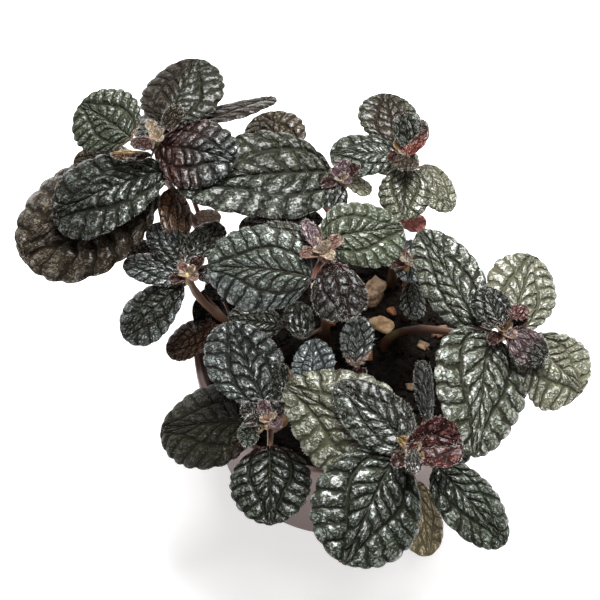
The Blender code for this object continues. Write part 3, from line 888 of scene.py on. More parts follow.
    def build(self, bm: bmesh.types.BMesh, crown: Point) -> None:
        """Adds the blade to a mesh: a grid laid on the leaf's surface, with its maps and colours.

        Args:
            bm: The mesh that all the stem's leaves share.
            crown: The rosette's centre.
        """
        growth = self.age.value
        rows = growth.cells * growth.steps
        half = 2 * growth.columns
        made = bmesh.ops.create_grid(bm, x_segments=rows, y_segments=2 * half, size=1.0)["verts"]
        steps = np.array([(vert.co.x, vert.co.y) for vert in made])
        along = np.round((steps[:, 0] + 1) / 2 * rows) / rows
        across = np.round(steps[:, 1] * half) / half
        points = self.surface(crown, along, across) * MM
        layers = {name: bm.verts.layers.float_color[name] for name in ("ground", "pad", "vein")}
        colours = self.colours(along, across)
        places = {}
        for index, vert in enumerate(made):
            vert.co = points[index]
            for name, layer in layers.items():
                vert[layer] = colours[name][index]
            places[vert] = (float(along[index]), float(across[index]))
        self.chart(bm, {face for vert in made for face in vert.link_faces}, places)
        for end in (0.0, 1.0):
            meeting = [vert for vert in made if vert.is_valid and places[vert][0] == end]
            bmesh.ops.pointmerge(bm, verts=meeting, merge_co=meeting[0].co)
        self.thicken(bm, list({face for vert in made if vert.is_valid for face in vert.link_faces}))

    def thicken(self, bm: bmesh.types.BMesh, faces: list[bmesh.types.BMFace]) -> None:
        """Gives the blade its underside and closes it round the edge.

        Args:
            bm: The mesh.
            faces: The blade's upper faces.
        """
        under = {vert for face in faces for vert in face.verts}
        for vert in under:
            vert.normal_update()
        sink = {vert: vert.normal * self.THICKNESS * MM for vert in under}
        made = bmesh.ops.extrude_face_region(bm, geom=faces, use_keep_orig=True)["geom"]
        upper = {face for face in made if isinstance(face, bmesh.types.BMFace)}
        for vert, drop in sink.items():
            vert.co -= drop
        around = {face for vert in under for face in vert.link_faces} | upper
        for face in around - upper:
            face.material_index = 1
        bmesh.ops.recalc_face_normals(bm, faces=list(around))

    def chart(self, bm: bmesh.types.BMesh, faces: set[bmesh.types.BMFace],
              places: dict[bmesh.types.BMVert, tuple[float, float]]) -> None:
        """Writes the two maps that the finish reads, without a blur across the lateral veins.

        Args:
            bm: The mesh.
            faces: The blade's faces.
            places: Along and across for each vertex.
        """
        quilt, span = bm.loops.layers.uv["quilt"], bm.loops.layers.uv["span"]
        vertices = list(places)
        along, across = (np.array([places[vert][part] for vert in vertices]) for part in (0, 1))
        counts = {
            (outer, left): dict(zip(vertices, self.phase(along, across, outer, left)))
            for outer in (False, True) for left in (False, True)
        }
        for face in faces:
            middle = sum(places[loop.vert][1] for loop in face.loops) / len(face.loops)
            outer, left = abs(middle) > 0.5, middle > 0
            for loop in face.loops:
                level = abs(places[loop.vert][1])
                band = 1 + (2 * level - 1) * 0.75 if outer else 2 * level
                loop[quilt].uv = (counts[outer, left][loop.vert], band)
                loop[span].uv = places[loop.vert]

    def hairs(self, crown: Point) -> list[tuple[np.ndarray, np.ndarray, float]]:
        """Where the hairs stand: on the rim, leaning outwards, and on the face, leaning towards the tip.

        Args:
            crown: The rosette's centre.

        Returns:
            A foot, a direction and a length for each hair.
        """
        growth = self.age.value
        chance = self.chance("hairs")
        rim_count = int(growth.rim_hairs * self.RIM_HAIRS_PER_MM * self.length)
        face_count = int(growth.face_hairs * self.FACE_HAIRS_PER_MM2 * self.length * self.width)
        rim_along = 0.04 + 0.93 * chance.random(rim_count)
        rim_across = np.where(chance.random(rim_count) < 0.5, -0.985, 0.985)
        face_along = 0.03 + 0.94 * chance.random(face_count)
        face_across = 1.9 * chance.random(face_count) - 0.95
        along = np.concatenate((rim_along, face_along))
        across = np.concatenate((rim_across, face_across))
        small = 0.004
        foot = self.surface(crown, along, across)
        onward = self.surface(crown, np.clip(along + small, 0, 1), across) - foot
        aside = (self.surface(crown, along, across * (1 - small)) - foot) * -np.sign(across)[:, None]
        onward /= np.linalg.norm(onward, axis=1)[:, None] + 1e-9
        aside /= np.linalg.norm(aside, axis=1)[:, None] + 1e-9
        normal = np.cross(onward, aside)
        normal /= np.linalg.norm(normal, axis=1)[:, None] + 1e-9
        rim = (np.arange(len(along)) < rim_count)[:, None]
        outward = aside * np.sign(across)[:, None]
        lean = np.where(rim, outward + 0.35 * onward + 0.25 * normal, normal + 0.45 * onward)
        lean = lean + 0.35 * chance.standard_normal(lean.shape)
        lean /= np.linalg.norm(lean, axis=1)[:, None]
        lengths = growth.hair_mm * (0.5 + 0.8 * chance.random(len(along)))
        return list(zip(foot, lean, lengths))


def tube(bm: bmesh.types.BMesh, points: list[Vector], radii: list[float],
         sides: int) -> list[bmesh.types.BMVert]:
    """Adds a closed tube through points, with a radius at each.

    Args:
        bm: The mesh to add it to.
        points: The middle line.
        radii: The radius at each point.
        sides: How many sides the tube has.

    Returns:
        The tube's vertices.
    """
    rings: list[list[bmesh.types.BMVert]] = []
    for index, point in enumerate(points):
        before = points[max(index - 1, 0)]
        after = points[min(index + 1, len(points) - 1)]
        turn = (after - before).to_track_quat("Z", "X").to_matrix().to_4x4()
        ring = bmesh.ops.create_circle(
            bm, cap_ends=False, segments=sides, radius=radii[index] * MM,
            matrix=Matrix.Translation(point * MM) @ turn,
        )["verts"]
        rings.append(ring)
    for low, high in zip(rings, rings[1:]):
        edges = {
            edge for ring in (low, high) for vert in ring for edge in vert.link_edges
            if set(edge.verts) <= set(ring)
        }
        bmesh.ops.bridge_loops(bm, edges=list(edges))
    for ring in (rings[0], rings[-1]):
        bmesh.ops.contextual_create(bm, geom=ring)
    vertices = [vert for ring in rings for vert in ring]
    bmesh.ops.recalc_face_normals(bm, faces=list({face for vert in vertices for face in vert.link_faces}))
    return vertices


def finished(name: str, bm: bmesh.types.BMesh, materials: list[bpy.types.Material]) -> bpy.types.Object:
    """Turns a mesh under construction into a smooth-shaded piece that rides with the plant.

    Args:
        name: The piece's name.
        bm: The mesh, which is freed.
        materials: Its materials, by slot.

    Returns:
        The piece.
    """
    mesh = bpy.data.meshes.new(name)
    bm.to_mesh(mesh)
    bm.free()
    for material in materials:
        mesh.materials.append(material)
    mesh.shade_smooth()
    piece = bpy.data.objects.new(name, mesh)
    bpy.context.scene.collection.objects.link(piece)
    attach(piece, BODY)
    triangles = sum(len(polygon.vertices) - 2 for polygon in mesh.polygons)
    LOG.info("%s: %d triangles", name, triangles)
    return piece


@dataclass(frozen=True)
class Palette:
    """The materials that the pieces share."""

    leaf_top: bpy.types.Material
    underside: bpy.types.Material
    stalk: bpy.types.Material
    hair: bpy.types.Material


@dataclass(frozen=True)
class LeafyStem:
    """A stem with its stalks, leaves, opening buds and hairs, in place of one solid of the frame."""

    node: str
    slot: str
    root: tuple[float, float]
    crown: Point
    leaves: tuple[Leaf, ...]
    sway: tuple[float, float] = (0.0, 0.0)
    bud: Tones = Tones.PINK
    young: Tones = Tones.MAROON

    SOIL_TOP = 66.0
    IN_SOIL, STRAIGHT = 20.0, 6.0  # how deep the stem goes, and how far it stays upright above the soil
    RISE, LEAN, DROP = 0.2, 0.08, 0.5  # where the two handles of its curve lie
    RADIUS, TIP_RADIUS = 2.0, 1.45
    SIDES, STEPS = 12, 18
    SWELL, SWELL_COUNT, SWELL_SPREAD = 0.35, 4.2, 0.13  # how thick, how many and how long its joints are
    FOOT_COLOUR, TOP_COLOUR = paint(66, 42, 32), paint(104, 72, 50)
    STALK_RADIUS, STALK_SLOPE, STALK_SAG = 1.0, 0.45, 0.06
    STALK_STEPS, STALK_SIDES = 8, 8
    SEARCH_STEPS = 40
    RIB_SHARES = (0.2, 0.32, 0.44, 0.56, 0.68, 0.8, 0.9)
    BUD_PAIRS = 3
    JOINTS = 5
    JOINT_COLOURS = (paint(170, 140, 70), paint(198, 176, 120), paint(150, 96, 60))
    TUFT_HAIRS = 70
    HAIR_RADIUS = 0.065

    def line(self, along: float) -> Vector:
        """The stem's middle line.

        Args:
            along: From 0 just above the soil to 1 at the rosette.

        Returns:
            The point there.
        """
        start = Vector((*self.root, self.SOIL_TOP + self.STRAIGHT))
        end = Vector(self.crown)
        rise = end.z - start.z
        bow = Vector((*self.sway, 0))
        first = start + Vector((0, 0, rise * self.RISE)) + bow
        second = end - Vector((*((end - start).xy * self.LEAN), rise * self.DROP)) + bow
        rest = 1 - along
        return (
            start * rest**3 + first * (3 * rest**2 * along)
            + second * (3 * rest * along**2) + end * along**3
        )

    def tinted(self, bm: bmesh.types.BMesh, vertices: list[bmesh.types.BMVert], foot: Colour,
               tip: Colour) -> None:
        """Colours a tube from one end to the other.

        Args:
            bm: The mesh.
            vertices: The tube's vertices, from its foot to its tip.
            foot: The colour at the foot.
            tip: The colour at the tip.
        """
        layer = bm.verts.layers.float_color["ground"]
        for index, vert in enumerate(vertices):
            share = index / (len(vertices) - 1)
            vert[layer] = (*(a * (1 - share) + b * share for a, b in zip(foot, tip)), 1.0)

    def stalks(self, palette: Palette) -> bpy.types.Object:
        """The stem, its swollen joints and the stalk of each leaf.

        Args:
            palette: The shared materials.

        Returns:
            The piece.
        """
        bm = bmesh.new()
        bm.verts.layers.float_color.new("ground")
        chance = random.Random(self.node)
        x, y = self.root
        points = [Vector((x, y, self.SOIL_TOP - self.IN_SOIL * share)) for share in (1, 0.5)]
        points += [self.line(step / self.STEPS) for step in range(self.STEPS + 1)]
        radii = []
        for index in range(len(points)):
            share = index / (len(points) - 1)
            off = (share * self.SWELL_COUNT) % 1.0 - 0.5
            swell = self.SWELL * math.exp(-(off / self.SWELL_SPREAD) ** 2)
            radii.append(self.RADIUS + (self.TIP_RADIUS - self.RADIUS) * share + swell)
        self.tinted(bm, tube(bm, points, radii, self.SIDES), self.FOOT_COLOUR, self.TOP_COLOUR)
        for leaf in self.leaves:
            if leaf.stalked:
                red = paint(96 + chance.randint(-14, 14), 58 + chance.randint(-10, 12), 42)
                pale = paint(120 + chance.randint(-12, 12), 92 + chance.randint(-12, 12), 66)
                self.tinted(bm, self.stalk(bm, leaf), red, pale)
        self.joints(bm)
        return finished(self.node + "_stalks", bm, [palette.stalk])

    def stalk(self, bm: bmesh.types.BMesh, leaf: Leaf) -> list[bmesh.types.BMVert]:
        """Adds a leaf's stalk, from inside the stem to a little way along under the blade.

        Args:
            bm: The mesh to add it to.
            leaf: The leaf that it carries.

        Returns:
            The stalk's vertices.
        """
        points, _, _, normals = leaf.frame_at(self.crown, np.zeros(1))
        base, normal = Vector(points[0]), Vector(normals[0])
        level = Vector(leaf.base).xy.length
        wanted = base.z - self.STALK_SLOPE * level - 1.0
        course = [self.line(step / self.SEARCH_STEPS) for step in range(self.SEARCH_STEPS + 1)]
        spring = min(course, key=lambda point: abs(point.z - wanted))
        start = base - normal * 1.1
        sag = Vector((0, 0, self.STALK_SAG * level if level > 12 else 0.0))
        middle = (spring + start) / 2 - sag
        pull = 2 * middle - (spring + start) / 2
        radius = self.STALK_RADIUS * min(max(leaf.width / 28, 0.55), 1.2)
        path, radii = [], []
        for step in range(self.STALK_STEPS + 1):
            share = step / self.STALK_STEPS
            path.append(spring * (1 - share) ** 2 + pull * (2 * share * (1 - share)) + start * share**2)
            radii.append(radius * (1.25 - 0.35 * share))
        along = np.array(self.RIB_SHARES)
        ribs = leaf.surface(self.crown, along, np.zeros_like(along))
        normals = leaf.frame_at(self.crown, leaf.layout(along, np.zeros_like(along))[2])[3]
        for share, point, upward in zip(along, ribs, normals):
            rib = radius * (0.85 - 0.65 * share)
            path.append(Vector(point) - Vector(upward) * (Leaf.THICKNESS + rib * 0.6))
            radii.append(rib)
        return tube(bm, path, radii, self.STALK_SIDES)

    def opening(self) -> list[Leaf]:
        """The pairs of young leaves that stand up in the rosette's centre, the inner ones paler.

        Returns:
            The leaves, from the outer pair to the inner one.
        """
        chance = random.Random(self.node + "bud")
        tones = ((self.young, self.bud), (self.bud, Tones.CREAM), (Tones.CREAM, self.bud))
        found = []
        for pair in range(self.BUD_PAIRS):
            for side in range(2):
                heading = 90 * pair + 180 * side + 35 + chance.uniform(-16, 16)
                length = 9.0 - 2.0 * pair + chance.uniform(-0.8, 0.8)
                pitch = 38 + 16 * pair + chance.uniform(-8, 8)
                reach = 1.6 - 0.5 * pair
                angle = math.radians(heading)
                base = (reach * math.cos(angle), reach * math.sin(angle), -0.5)
                found.append(Leaf(
                    f"{self.node}_bud_{pair}{side}", base, heading, pitch, 0, length, length * 0.62,
                    *tones[pair], Where.FOOT, age=Age.BUD, bend=30, cup=-0.55, stalked=False,
                ))
        return found

    def joints(self, bm: bmesh.types.BMesh) -> None:
        """Adds the swollen ochre joints and stipules between the stalks in the rosette's centre.

        Args:
            bm: The mesh to add them to.
        """
        layer = bm.verts.layers.float_color["ground"]
        chance = random.Random(self.node + "joints")
        for _ in range(self.JOINTS):
            angle = chance.uniform(0, math.tau)
            reach = chance.uniform(0.8, 3.4)
            middle = Vector(self.crown) + Vector((reach * math.cos(angle), reach * math.sin(angle), -1.5))
            size = (chance.uniform(1.0, 1.6), chance.uniform(0.9, 1.3), chance.uniform(1.8, 3.0))
            turn = Matrix.Rotation(chance.uniform(-0.7, 0.7), 4, "X") @ Matrix.Rotation(angle, 4, "Z")
            stretch = Matrix.Diagonal((*(value * MM for value in size), 1))
            made = bmesh.ops.create_icosphere(
                bm, subdivisions=2, radius=1.0, matrix=Matrix.Translation(middle * MM) @ turn @ stretch,
            )["verts"]
            colour = chance.choice(self.JOINT_COLOURS)
            for vert in made:
                vert[layer] = (*colour, 1.0)

    def blades(self, palette: Palette, leaves: list[Leaf]) -> bpy.types.Object:
        """All the leaves, each a thin shell with its upper side and underside.

        Args:
            palette: The shared materials.
            leaves: The leaves, opening ones among them.

        Returns:
            The piece.
        """
        bm = bmesh.new()
        for name in ("ground", "pad", "vein"):
            bm.verts.layers.float_color.new(name)
        for name in ("quilt", "span"):
            bm.loops.layers.uv.new(name)
        for leaf in leaves:
            leaf.build(bm, self.crown)
        return finished(self.node + "_leaves", bm, [palette.leaf_top, palette.underside])

    def hairs(self, palette: Palette, leaves: list[Leaf]) -> bpy.types.Object:
        """The fine hairs of the leaves and the stem.

        Args:
            palette: The shared materials.
            leaves: The leaves that carry them.

        Returns:
            The piece.
        """
        bm = bmesh.new()
        for group in (*(leaf.hairs(self.crown) for leaf in leaves), self.tuft()):
            patch = bmesh.new()
            for foot, lean, length in group:
                self.hair(patch, Vector(foot), Vector(lean), length)
            mesh = bpy.data.meshes.new("patch")
            patch.to_mesh(mesh)
            patch.free()
            bm.from_mesh(mesh)
            bpy.data.meshes.remove(mesh)
        return finished(self.node + "_hairs", bm, [palette.hair])

    def tuft(self) -> list[tuple[Vector, Vector, float]]:
        """The longer hairs that stand round the rosette's centre.

        Returns:
            A foot, a direction and a length for each hair.
        """
        chance = random.Random(self.node + "tuft")
        found = []
        for _ in range(self.TUFT_HAIRS):
            angle = chance.uniform(0, math.tau)
            rise = chance.uniform(0.3, 1.4)
            level = math.cos(rise)
            lean = Vector((math.cos(angle) * level, math.sin(angle) * level, math.sin(rise)))
            foot = Vector(self.crown) + Vector((lean.x, lean.y, 0)) * 2.4 + Vector((0, 0, -1.0))
            found.append((foot, lean, chance.uniform(2.0, 4.5)))
        return found

    def hair(self, bm: bmesh.types.BMesh, foot: Vector, lean: Vector, length: float) -> None:
        """Adds one hair, a slim three-sided spike.

        Args:
            bm: The mesh to add it to.
            foot: Where it stands.
            lean: The way it points.
            length: How long it is.
        """
        turn = lean.to_track_quat("Z", "X").to_matrix().to_4x4()
        bmesh.ops.create_cone(
            bm, cap_ends=True, segments=3, radius1=self.HAIR_RADIUS * MM, radius2=0.0, depth=length * MM,
            matrix=Matrix.Translation((foot + lean * (length * 0.42)) * MM) @ turn,
        )

    def build(self, palette: Palette) -> None:
        """Builds the stem's pieces and puts them in place of its solid.

        Args:
            palette: The shared materials.
        """
        leaves = [*self.leaves, *self.opening()]
        blades = self.blades(palette, leaves)
        stalks = self.stalks(palette)
        hairs = self.hairs(palette, leaves)
        for piece in (blades, stalks, hairs):
            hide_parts(self.node)


# Each stem starts with its node, slot, root and crown, and each leaf with its name, base, heading, pitch,
# roll, length, width, tone, second tone and where that one lies.
STEMS = (
    LeafyStem("shoot_back_left", "leaf_bronze", (-34, 24), (-78, 56, 152), (
        Leaf("A1", (3.5, 8.5, -1), 73, 2, -9, 42.5, 36, Tones.OLIVE, Tones.BRONZE, Where.LEFT,
             age=Age.SMOOTH, light=0.55, shoulder=0.06),
        Leaf("A2", (-11, 1.5, -3), 137, 7, -16, 31.5, 31.5, Tones.FRESH, Tones.CREAM, Where.HEEL, bend=25,
             light=0.95, shoulder=-0.07),
        Leaf("A3", (1.5, -1.5, -3), -16, 11, 2, 34, 36, Tones.MAROON, Tones.BLUE, light=0.8, shoulder=0.07),
        Leaf("A4", (4, -11, -8), -161, 2, 8, 52.5, 42.5, Tones.GREEN, Tones.DARK, bend=30, cup=0.03,
             light=0.85, shoulder=-0.23),
        Leaf("A5", (-2.5, -3, -20), -150, 1, 9, 68, 64, Tones.BRONZE, Tones.DARK, Where.FOOT, bend=30,
             light=1.1),
        Leaf("A6", (6.5, 14.5, -10), 24, 4, -38, 47.5, 29, Tones.BRONZE, age=Age.SMOOTH, light=0.65,
             shoulder=0.03),
        Leaf("A7", (3, 2, 3), 45, 40, 0, 12, 9, Tones.BRONZE, Tones.LILAC, Where.FOOT, age=Age.YOUNG),
        Leaf("A8", (-2, -3, 3), -125, 35, 0, 12, 9, Tones.MAROON, Tones.PINK, Where.FOOT, age=Age.YOUNG,
             light=1.35),
        Leaf("A10", (-2, -7, -3), 178, 4, 20, 17, 8, Tones.RUSSET, Tones.OCHRE, Where.RIGHT, age=Age.YOUNG,
             bend=10, light=1.2),
        Leaf("A11", (-8, 3, -24), 168, 3, 0, 31, 22, Tones.BRONZE, age=Age.LOWER, light=2.15),
        Leaf("A9", (4, 28, -40), 110, -15, 0, 36, 27, Tones.DARK, age=Age.LOWER, light=1.3),
    ), sway=(-8, 4), bud=Tones.CREAM),
    LeafyStem("shoot_back", "leaf_olive", (2, 32), (0, 42, 140), (
        Leaf("B1", (-4, 6.5, -2), 191, 20, 6, 67, 49, Tones.OLIVE, Tones.SILVER, Where.LEFT, bend=30,
             cup=0.05, light=0.6, shoulder=0.32),
        Leaf("B2", (-21, 25, -16), 118, -2, -6, 33, 28, Tones.BRONZE, age=Age.HALF, light=1.4,
             shoulder=-0.15),
        Leaf("B3", (2.5, 4, -6), -1, -24, 17, 12.5, 8, Tones.PALE, age=Age.YOUNG, bend=10, light=2.4,
             shoulder=-0.14),
        Leaf("B4", (-1.5, -2, 1), -100, 14, -2, 15.5, 11, Tones.DARK, age=Age.YOUNG, bend=15,
             shoulder=-0.09),
        Leaf("B5", (0, 1, 1), 80, 30, 0, 8, 8, Tones.LILAC, age=Age.YOUNG, bend=10, light=1.1),
        Leaf("B6", (-20, 18, -35), 150, -12, 0, 34, 26, Tones.GREEN, age=Age.LOWER),
    ), bud=Tones.LILAC),
    LeafyStem("shoot_back_right", "leaf_olive", (24, 38), (27, 56, 140), (
        Leaf("C1", (-3, 7.5, -4), 97, 4, 8, 32.5, 27.5, Tones.BRONZE, Tones.OLIVE, Where.RIM,
             age=Age.SMOOTH),
        Leaf("C2", (-2, 2, -3), 176, 7, 3, 30, 24, Tones.GREEN, Tones.OLIVE, Where.FOOT, age=Age.HALF,
             light=1.25, shoulder=-0.18),
        Leaf("C3", (0.5, -4, -3), -93, -1, 2, 25.5, 22.5, Tones.SAGE, Tones.OLIVE, Where.RIM, age=Age.HALF,
             light=1.55, shoulder=0.02),
        Leaf("C4", (8.5, -2, -5), -56, -14, -16, 23, 19, Tones.PALE, age=Age.HALF, light=1.35,
             shoulder=0.01),
        Leaf("C5", (0.5, 0.5, 4), 89, 27, -19, 15.5, 12, Tones.DARK, age=Age.YOUNG, bend=10, light=1.55,
             shoulder=-0.15),
        Leaf("C6", (-0.5, -3.5, 3), 65, 22, -30, 18.5, 14.5, Tones.CRIMSON, Tones.PURPLE, age=Age.YOUNG,
             bend=10, light=2, shoulder=-0.02),
        Leaf("C7", (0, -1, 3), -85, 20, 0, 13, 10, Tones.BRONZE, age=Age.YOUNG, bend=10, light=1.25),
        # C8's tone and light are painted light that lifts it out of the shade it lies in
        Leaf("C8", (-1.5, -20, -22), 5, 2, 0, 11.5, 10, Tones.ROSE, age=Age.YOUNG, bend=10, light=2.2,
             shoulder=-0.16),
        Leaf("C9", (2, 14, -35), 105, -12, 0, 30, 22, Tones.OLIVE, age=Age.LOWER),
    ), bud=Tones.OCHRE),
    LeafyStem("shoot_centre", "leaf_green", (-6, 4), (-9, -15, 170), (
        Leaf("E1", (-4, -10, -3), 166, 4, -32, 44, 34, Tones.VEINED, Tones.BLUE, Where.LEFT_BAND, bend=30,
             cup=0.18, light=1.9, shoulder=-0.01),
        Leaf("E2", (1, 8, -3), 23, -6, 7, 37.5, 32, Tones.FRESH, bend=25, light=1.55, shoulder=-0.04),
        Leaf("E3", (3, -3.5, -2), -75, 0, 3, 25.5, 21.5, Tones.PURPLE, Tones.CRIMSON, Where.FOOT,
             age=Age.HAIRY, light=0.6, shoulder=-0.24),
        Leaf("E4", (-1, 0, 2), 111, 11, 25, 14.5, 7.5, Tones.LILAC, Tones.PINK, Where.FOOT, age=Age.YOUNG,
             bend=10, light=1.05),
        Leaf("E5", (0, 0, 1), 149, 0, -2, 27.5, 13.5, Tones.DARK, age=Age.HAIRY, bend=15, light=2.4,
             shoulder=-0.14),
        Leaf("E6", (-7, 6, -74), 100, 15, 10, 18, 13, Tones.GREEN, age=Age.YOUNG, bend=15, light=1.2),
        Leaf("E9", (-16, 14, -76), 172, 8, -8, 24, 17, Tones.SILVER, age=Age.HALF, bend=15, light=1.15),
        Leaf("E7", (6, 26, -42), 42, -12, 0, 28, 22, Tones.DARK, age=Age.LOWER),
        Leaf("E8", (1, 50, -48), 178, -2, 0, 37, 18, Tones.DARK, age=Age.LOWER, light=2.4),
    ), bud=Tones.CREAM, young=Tones.PINK),
    LeafyStem("shoot_left", "leaf_dark", (-38, 2), (-64, 2, 128), (
        Leaf("F1", (0.5, 0.5, -2), 161, 5, 7, 30, 17, Tones.BLUE, age=Age.HALF, light=1.05, shoulder=-0.08),
        Leaf("F2", (-2.5, 6, -1), 119, 8, 8, 25.5, 16.5, Tones.DARK, Tones.BLUE, age=Age.HALF, light=0.7,
             shoulder=-0.14),
        Leaf("F3", (-2.5, -3, -2), -144, -11, 8, 33.5, 25, Tones.DARK, Tones.BLUE, Where.RIM, age=Age.HALF,
             bend=25, cup=0.12, light=1.1, shoulder=-0.22),
        Leaf("F4", (-2, 5.5, 1), 57, 6, -15, 25.5, 16.5, Tones.DARK, Tones.MAROON, Where.FOOT,
             age=Age.HAIRY, bend=15, cup=0.14, light=1.35, shoulder=-0.23),
        Leaf("F5", (-4.5, 20.5, -4), 97, 17, 29, 24.5, 16, Tones.RUSSET, age=Age.YOUNG, bend=10, light=2.05,
             shoulder=-0.05),
        Leaf("F6", (3, 2, -3), 18, -4, 0, 14, 11, Tones.PURPLE, Tones.MAROON, Where.FOOT, age=Age.YOUNG,
             bend=10, light=0.4),
        # F10's cream tone and light are painted light that lifts it out of the shadow of B1
        Leaf("F10", (0, 44, -20), 0, 4, 0, 12, 10, Tones.CREAM, age=Age.YOUNG, bend=10, light=2.2),
        Leaf("F11", (-14, 24, -14), 188, -4, 0, 15, 13, Tones.DARK, age=Age.LOWER, light=2.4),
        # F7's low light is painted shade: the leaf lies in shade
        Leaf("F7", (6, 13, -30), -78, -18, -25, 24, 17, Tones.DARK, age=Age.YOUNG, bend=15, light=0.4),
        Leaf("F8", (10, -4, -32), -164, -22, 1, 25.5, 17.5, Tones.RUSSET, age=Age.HALF, bend=15, cup=0.14,
             light=0.8),
        Leaf("F9", (6, 10, -28), 30, -12, 0, 22, 17, Tones.DARK, age=Age.LOWER, light=0.4),
    )),
    LeafyStem("shoot_front_left", "leaf_dark", (-18, -30), (-30, -69, 132), (
        Leaf("G1", (-1.5, 9, -4), 111, 11, 11, 43, 32.5, Tones.BLUE, bend=25, light=1.25, shoulder=0),
        Leaf("G2", (-3.5, 4, -10), 166, -17, -10, 49.5, 37.5, Tones.MOSS, Tones.MAROON, Where.FOOT,
             age=Age.SMOOTH, bend=25, cup=0.13, light=0.8, shoulder=0.04),
        Leaf("G3", (0.5, -8.5, -6), -89, 6, 5, 33, 32, Tones.GREEN, Tones.MAROON, Where.FOOT, bend=25,
             light=0.55, shoulder=0.09),
        Leaf("G4", (-3.5, -6.5, 2), 180, -20, -17, 9.5, 10, Tones.GREEN, age=Age.YOUNG, bend=10, light=1.7,
             shoulder=-0.14),
        Leaf("G5", (-3, 0, 3), 137, -10, 0, 10, 8, Tones.PURPLE, age=Age.YOUNG, bend=10, light=0.75),
        Leaf("G6", (3, 9, -3), 85, 6, -21, 18.5, 8.5, Tones.DARK, age=Age.YOUNG, bend=10, light=1.1,
             shoulder=-0.18),
        Leaf("G7", (-2, 24, -37), 120, -12, 0, 30, 22, Tones.DARK, age=Age.LOWER),
    ), bud=Tones.LILAC, young=Tones.PURPLE),
    LeafyStem("shoot_front", "leaf_green", (12, -36), (25, -93, 150), (
        Leaf("H1", (-6, 1.5, -6), -115, 8, -20, 48, 43, Tones.GREEN, bend=30, light=0.95, shoulder=-0.03),
        Leaf("H2", (9.5, -1.5, -8), -44, -11, -10, 40.5, 26.5, Tones.GREEN, bend=25, light=1.2,
             shoulder=0.03),
        Leaf("H3", (3, -4.5, -16), -80, -22, -23, 29, 18, Tones.KHAKI, age=Age.PLAIN, light=2.4,
             shoulder=-0.23),
        Leaf("H4", (-1.5, 3.5, 0), 137, 16, -4, 37.5, 24, Tones.DARK, Tones.GREEN, Where.LEFT,
             age=Age.HAIRY, bend=25, cup=0.14, light=0.9, shoulder=0.24),
        Leaf("H5", (-7.5, 3.5, -7), 145, 15, -16, 50, 40, Tones.SAGE, bend=25, light=1.3, shoulder=0.33),
        Leaf("H6", (-3, -0.5, 2), 6, 4, 8, 22.5, 19.5, Tones.GARNET, Tones.OCHRE, Where.HEEL, age=Age.YOUNG,
             bend=5, cup=-0.44, light=0.85, shoulder=-0.27),
        Leaf("H7", (6.5, 17.5, -7), 87, 12, 61, 25, 18.5, Tones.DARK, age=Age.HALF, bend=15, light=0.5,
             shoulder=-0.07),
        Leaf("H8", (0, 0, 2), -88, 20, 0, 12.5, 6.5, Tones.PURPLE, age=Age.YOUNG, bend=10, light=1.4,
             shoulder=-0.06),
        Leaf("H9", (-7, 31, -42), 150, -12, 0, 36, 27, Tones.DARK, age=Age.LOWER),
        Leaf("H10", (5, 27, -45), 15, -12, 0, 26, 20, Tones.DARK, age=Age.LOWER),
        Leaf("H11", (-7, 13, -38), -120, -15, 0, 32, 25, Tones.DARK, age=Age.LOWER),
    ), bud=Tones.OCHRE),
    LeafyStem("shoot_right", "leaf_green", (20, 4), (63, -39, 150), (
        Leaf("I1", (-10, 4.5, -4), 114, 10, -18, 53, 25, Tones.SILVER, Tones.GREEN, Where.FOOT, bend=25,
             light=1.2, shoulder=0.11),
        Leaf("I2", (3.5, 2, -3), 74, 4, 14, 41, 29.5, Tones.PALE, light=1.25, shoulder=-0.09),
        Leaf("I3", (-5, 2, -5), -99, 11, -27, 55, 40, Tones.SILVER, bend=30, cup=0.1, light=1.5,
             shoulder=0.31),
        Leaf("I4", (10, 0, -6), -39, -11, -5, 30.5, 35.5, Tones.SAGE, Tones.PALE, bend=25, light=1.55,
             shoulder=-0.31),
        Leaf("I5", (-1.5, 0, 4), 107, 1, 5, 20, 16.5, Tones.DARK, Tones.MAROON, Where.FOOT, age=Age.HAIRY,
             bend=10, light=0.7, shoulder=-0.06),
        Leaf("I6", (1.5, -2, 3), -35, -11, 1, 18.5, 15.5, Tones.LILAC, Tones.DARK, age=Age.YOUNG, bend=10,
             light=1.05, shoulder=-0.08),
        Leaf("I7", (2.5, 2.5, 6), 39, 5, -5, 8, 7.5, Tones.CRIMSON, age=Age.YOUNG, bend=5, light=0.95),
        Leaf("I8", (-1, 27, -42), 100, -12, 0, 34, 25, Tones.DARK, age=Age.LOWER),
        Leaf("I9", (9, 19, -44), -20, -12, 0, 30, 22, Tones.OLIVE, age=Age.LOWER),
        Leaf("I10", (-3, 9, -44), -105, -12, 0, 26, 21, Tones.DARK, age=Age.LOWER),
    ), sway=(12, 8)),
    LeafyStem("shoot_low_front", "leaf_dark", (4, -16), (2, -41, 112), (
        Leaf("J1", (3.5, 8, 1), 89, 15, -21, 22.5, 14.5, Tones.BLUE, Tones.PINK, Where.FOOT, age=Age.HAIRY,
             bend=15, light=2, shoulder=-0.18),
        Leaf("J2", (-14.5, 3.5, -6), 89, 4, -15, 23, 18.5, Tones.FROST, age=Age.HALF, bend=15, light=1.6,
             shoulder=0.13),
    )),
    LeafyStem("shoot_low_centre", "leaf_dark", (30, 20), (28, 16, 118), (
        Leaf("K1", (2, 9.5, 2), -94, -8, 0, 19, 13.5, Tones.FROST, age=Age.HALF, bend=15, light=1.8),
        # K2's light is painted light that lifts it out of the shade it lies in
        Leaf("K2", (2.5, -1, -14), -86, -11, -16, 17, 11, Tones.DARK, Tones.BLUE, age=Age.HALF, bend=15,
             light=2.4, shoulder=-0.27),
    )),
)


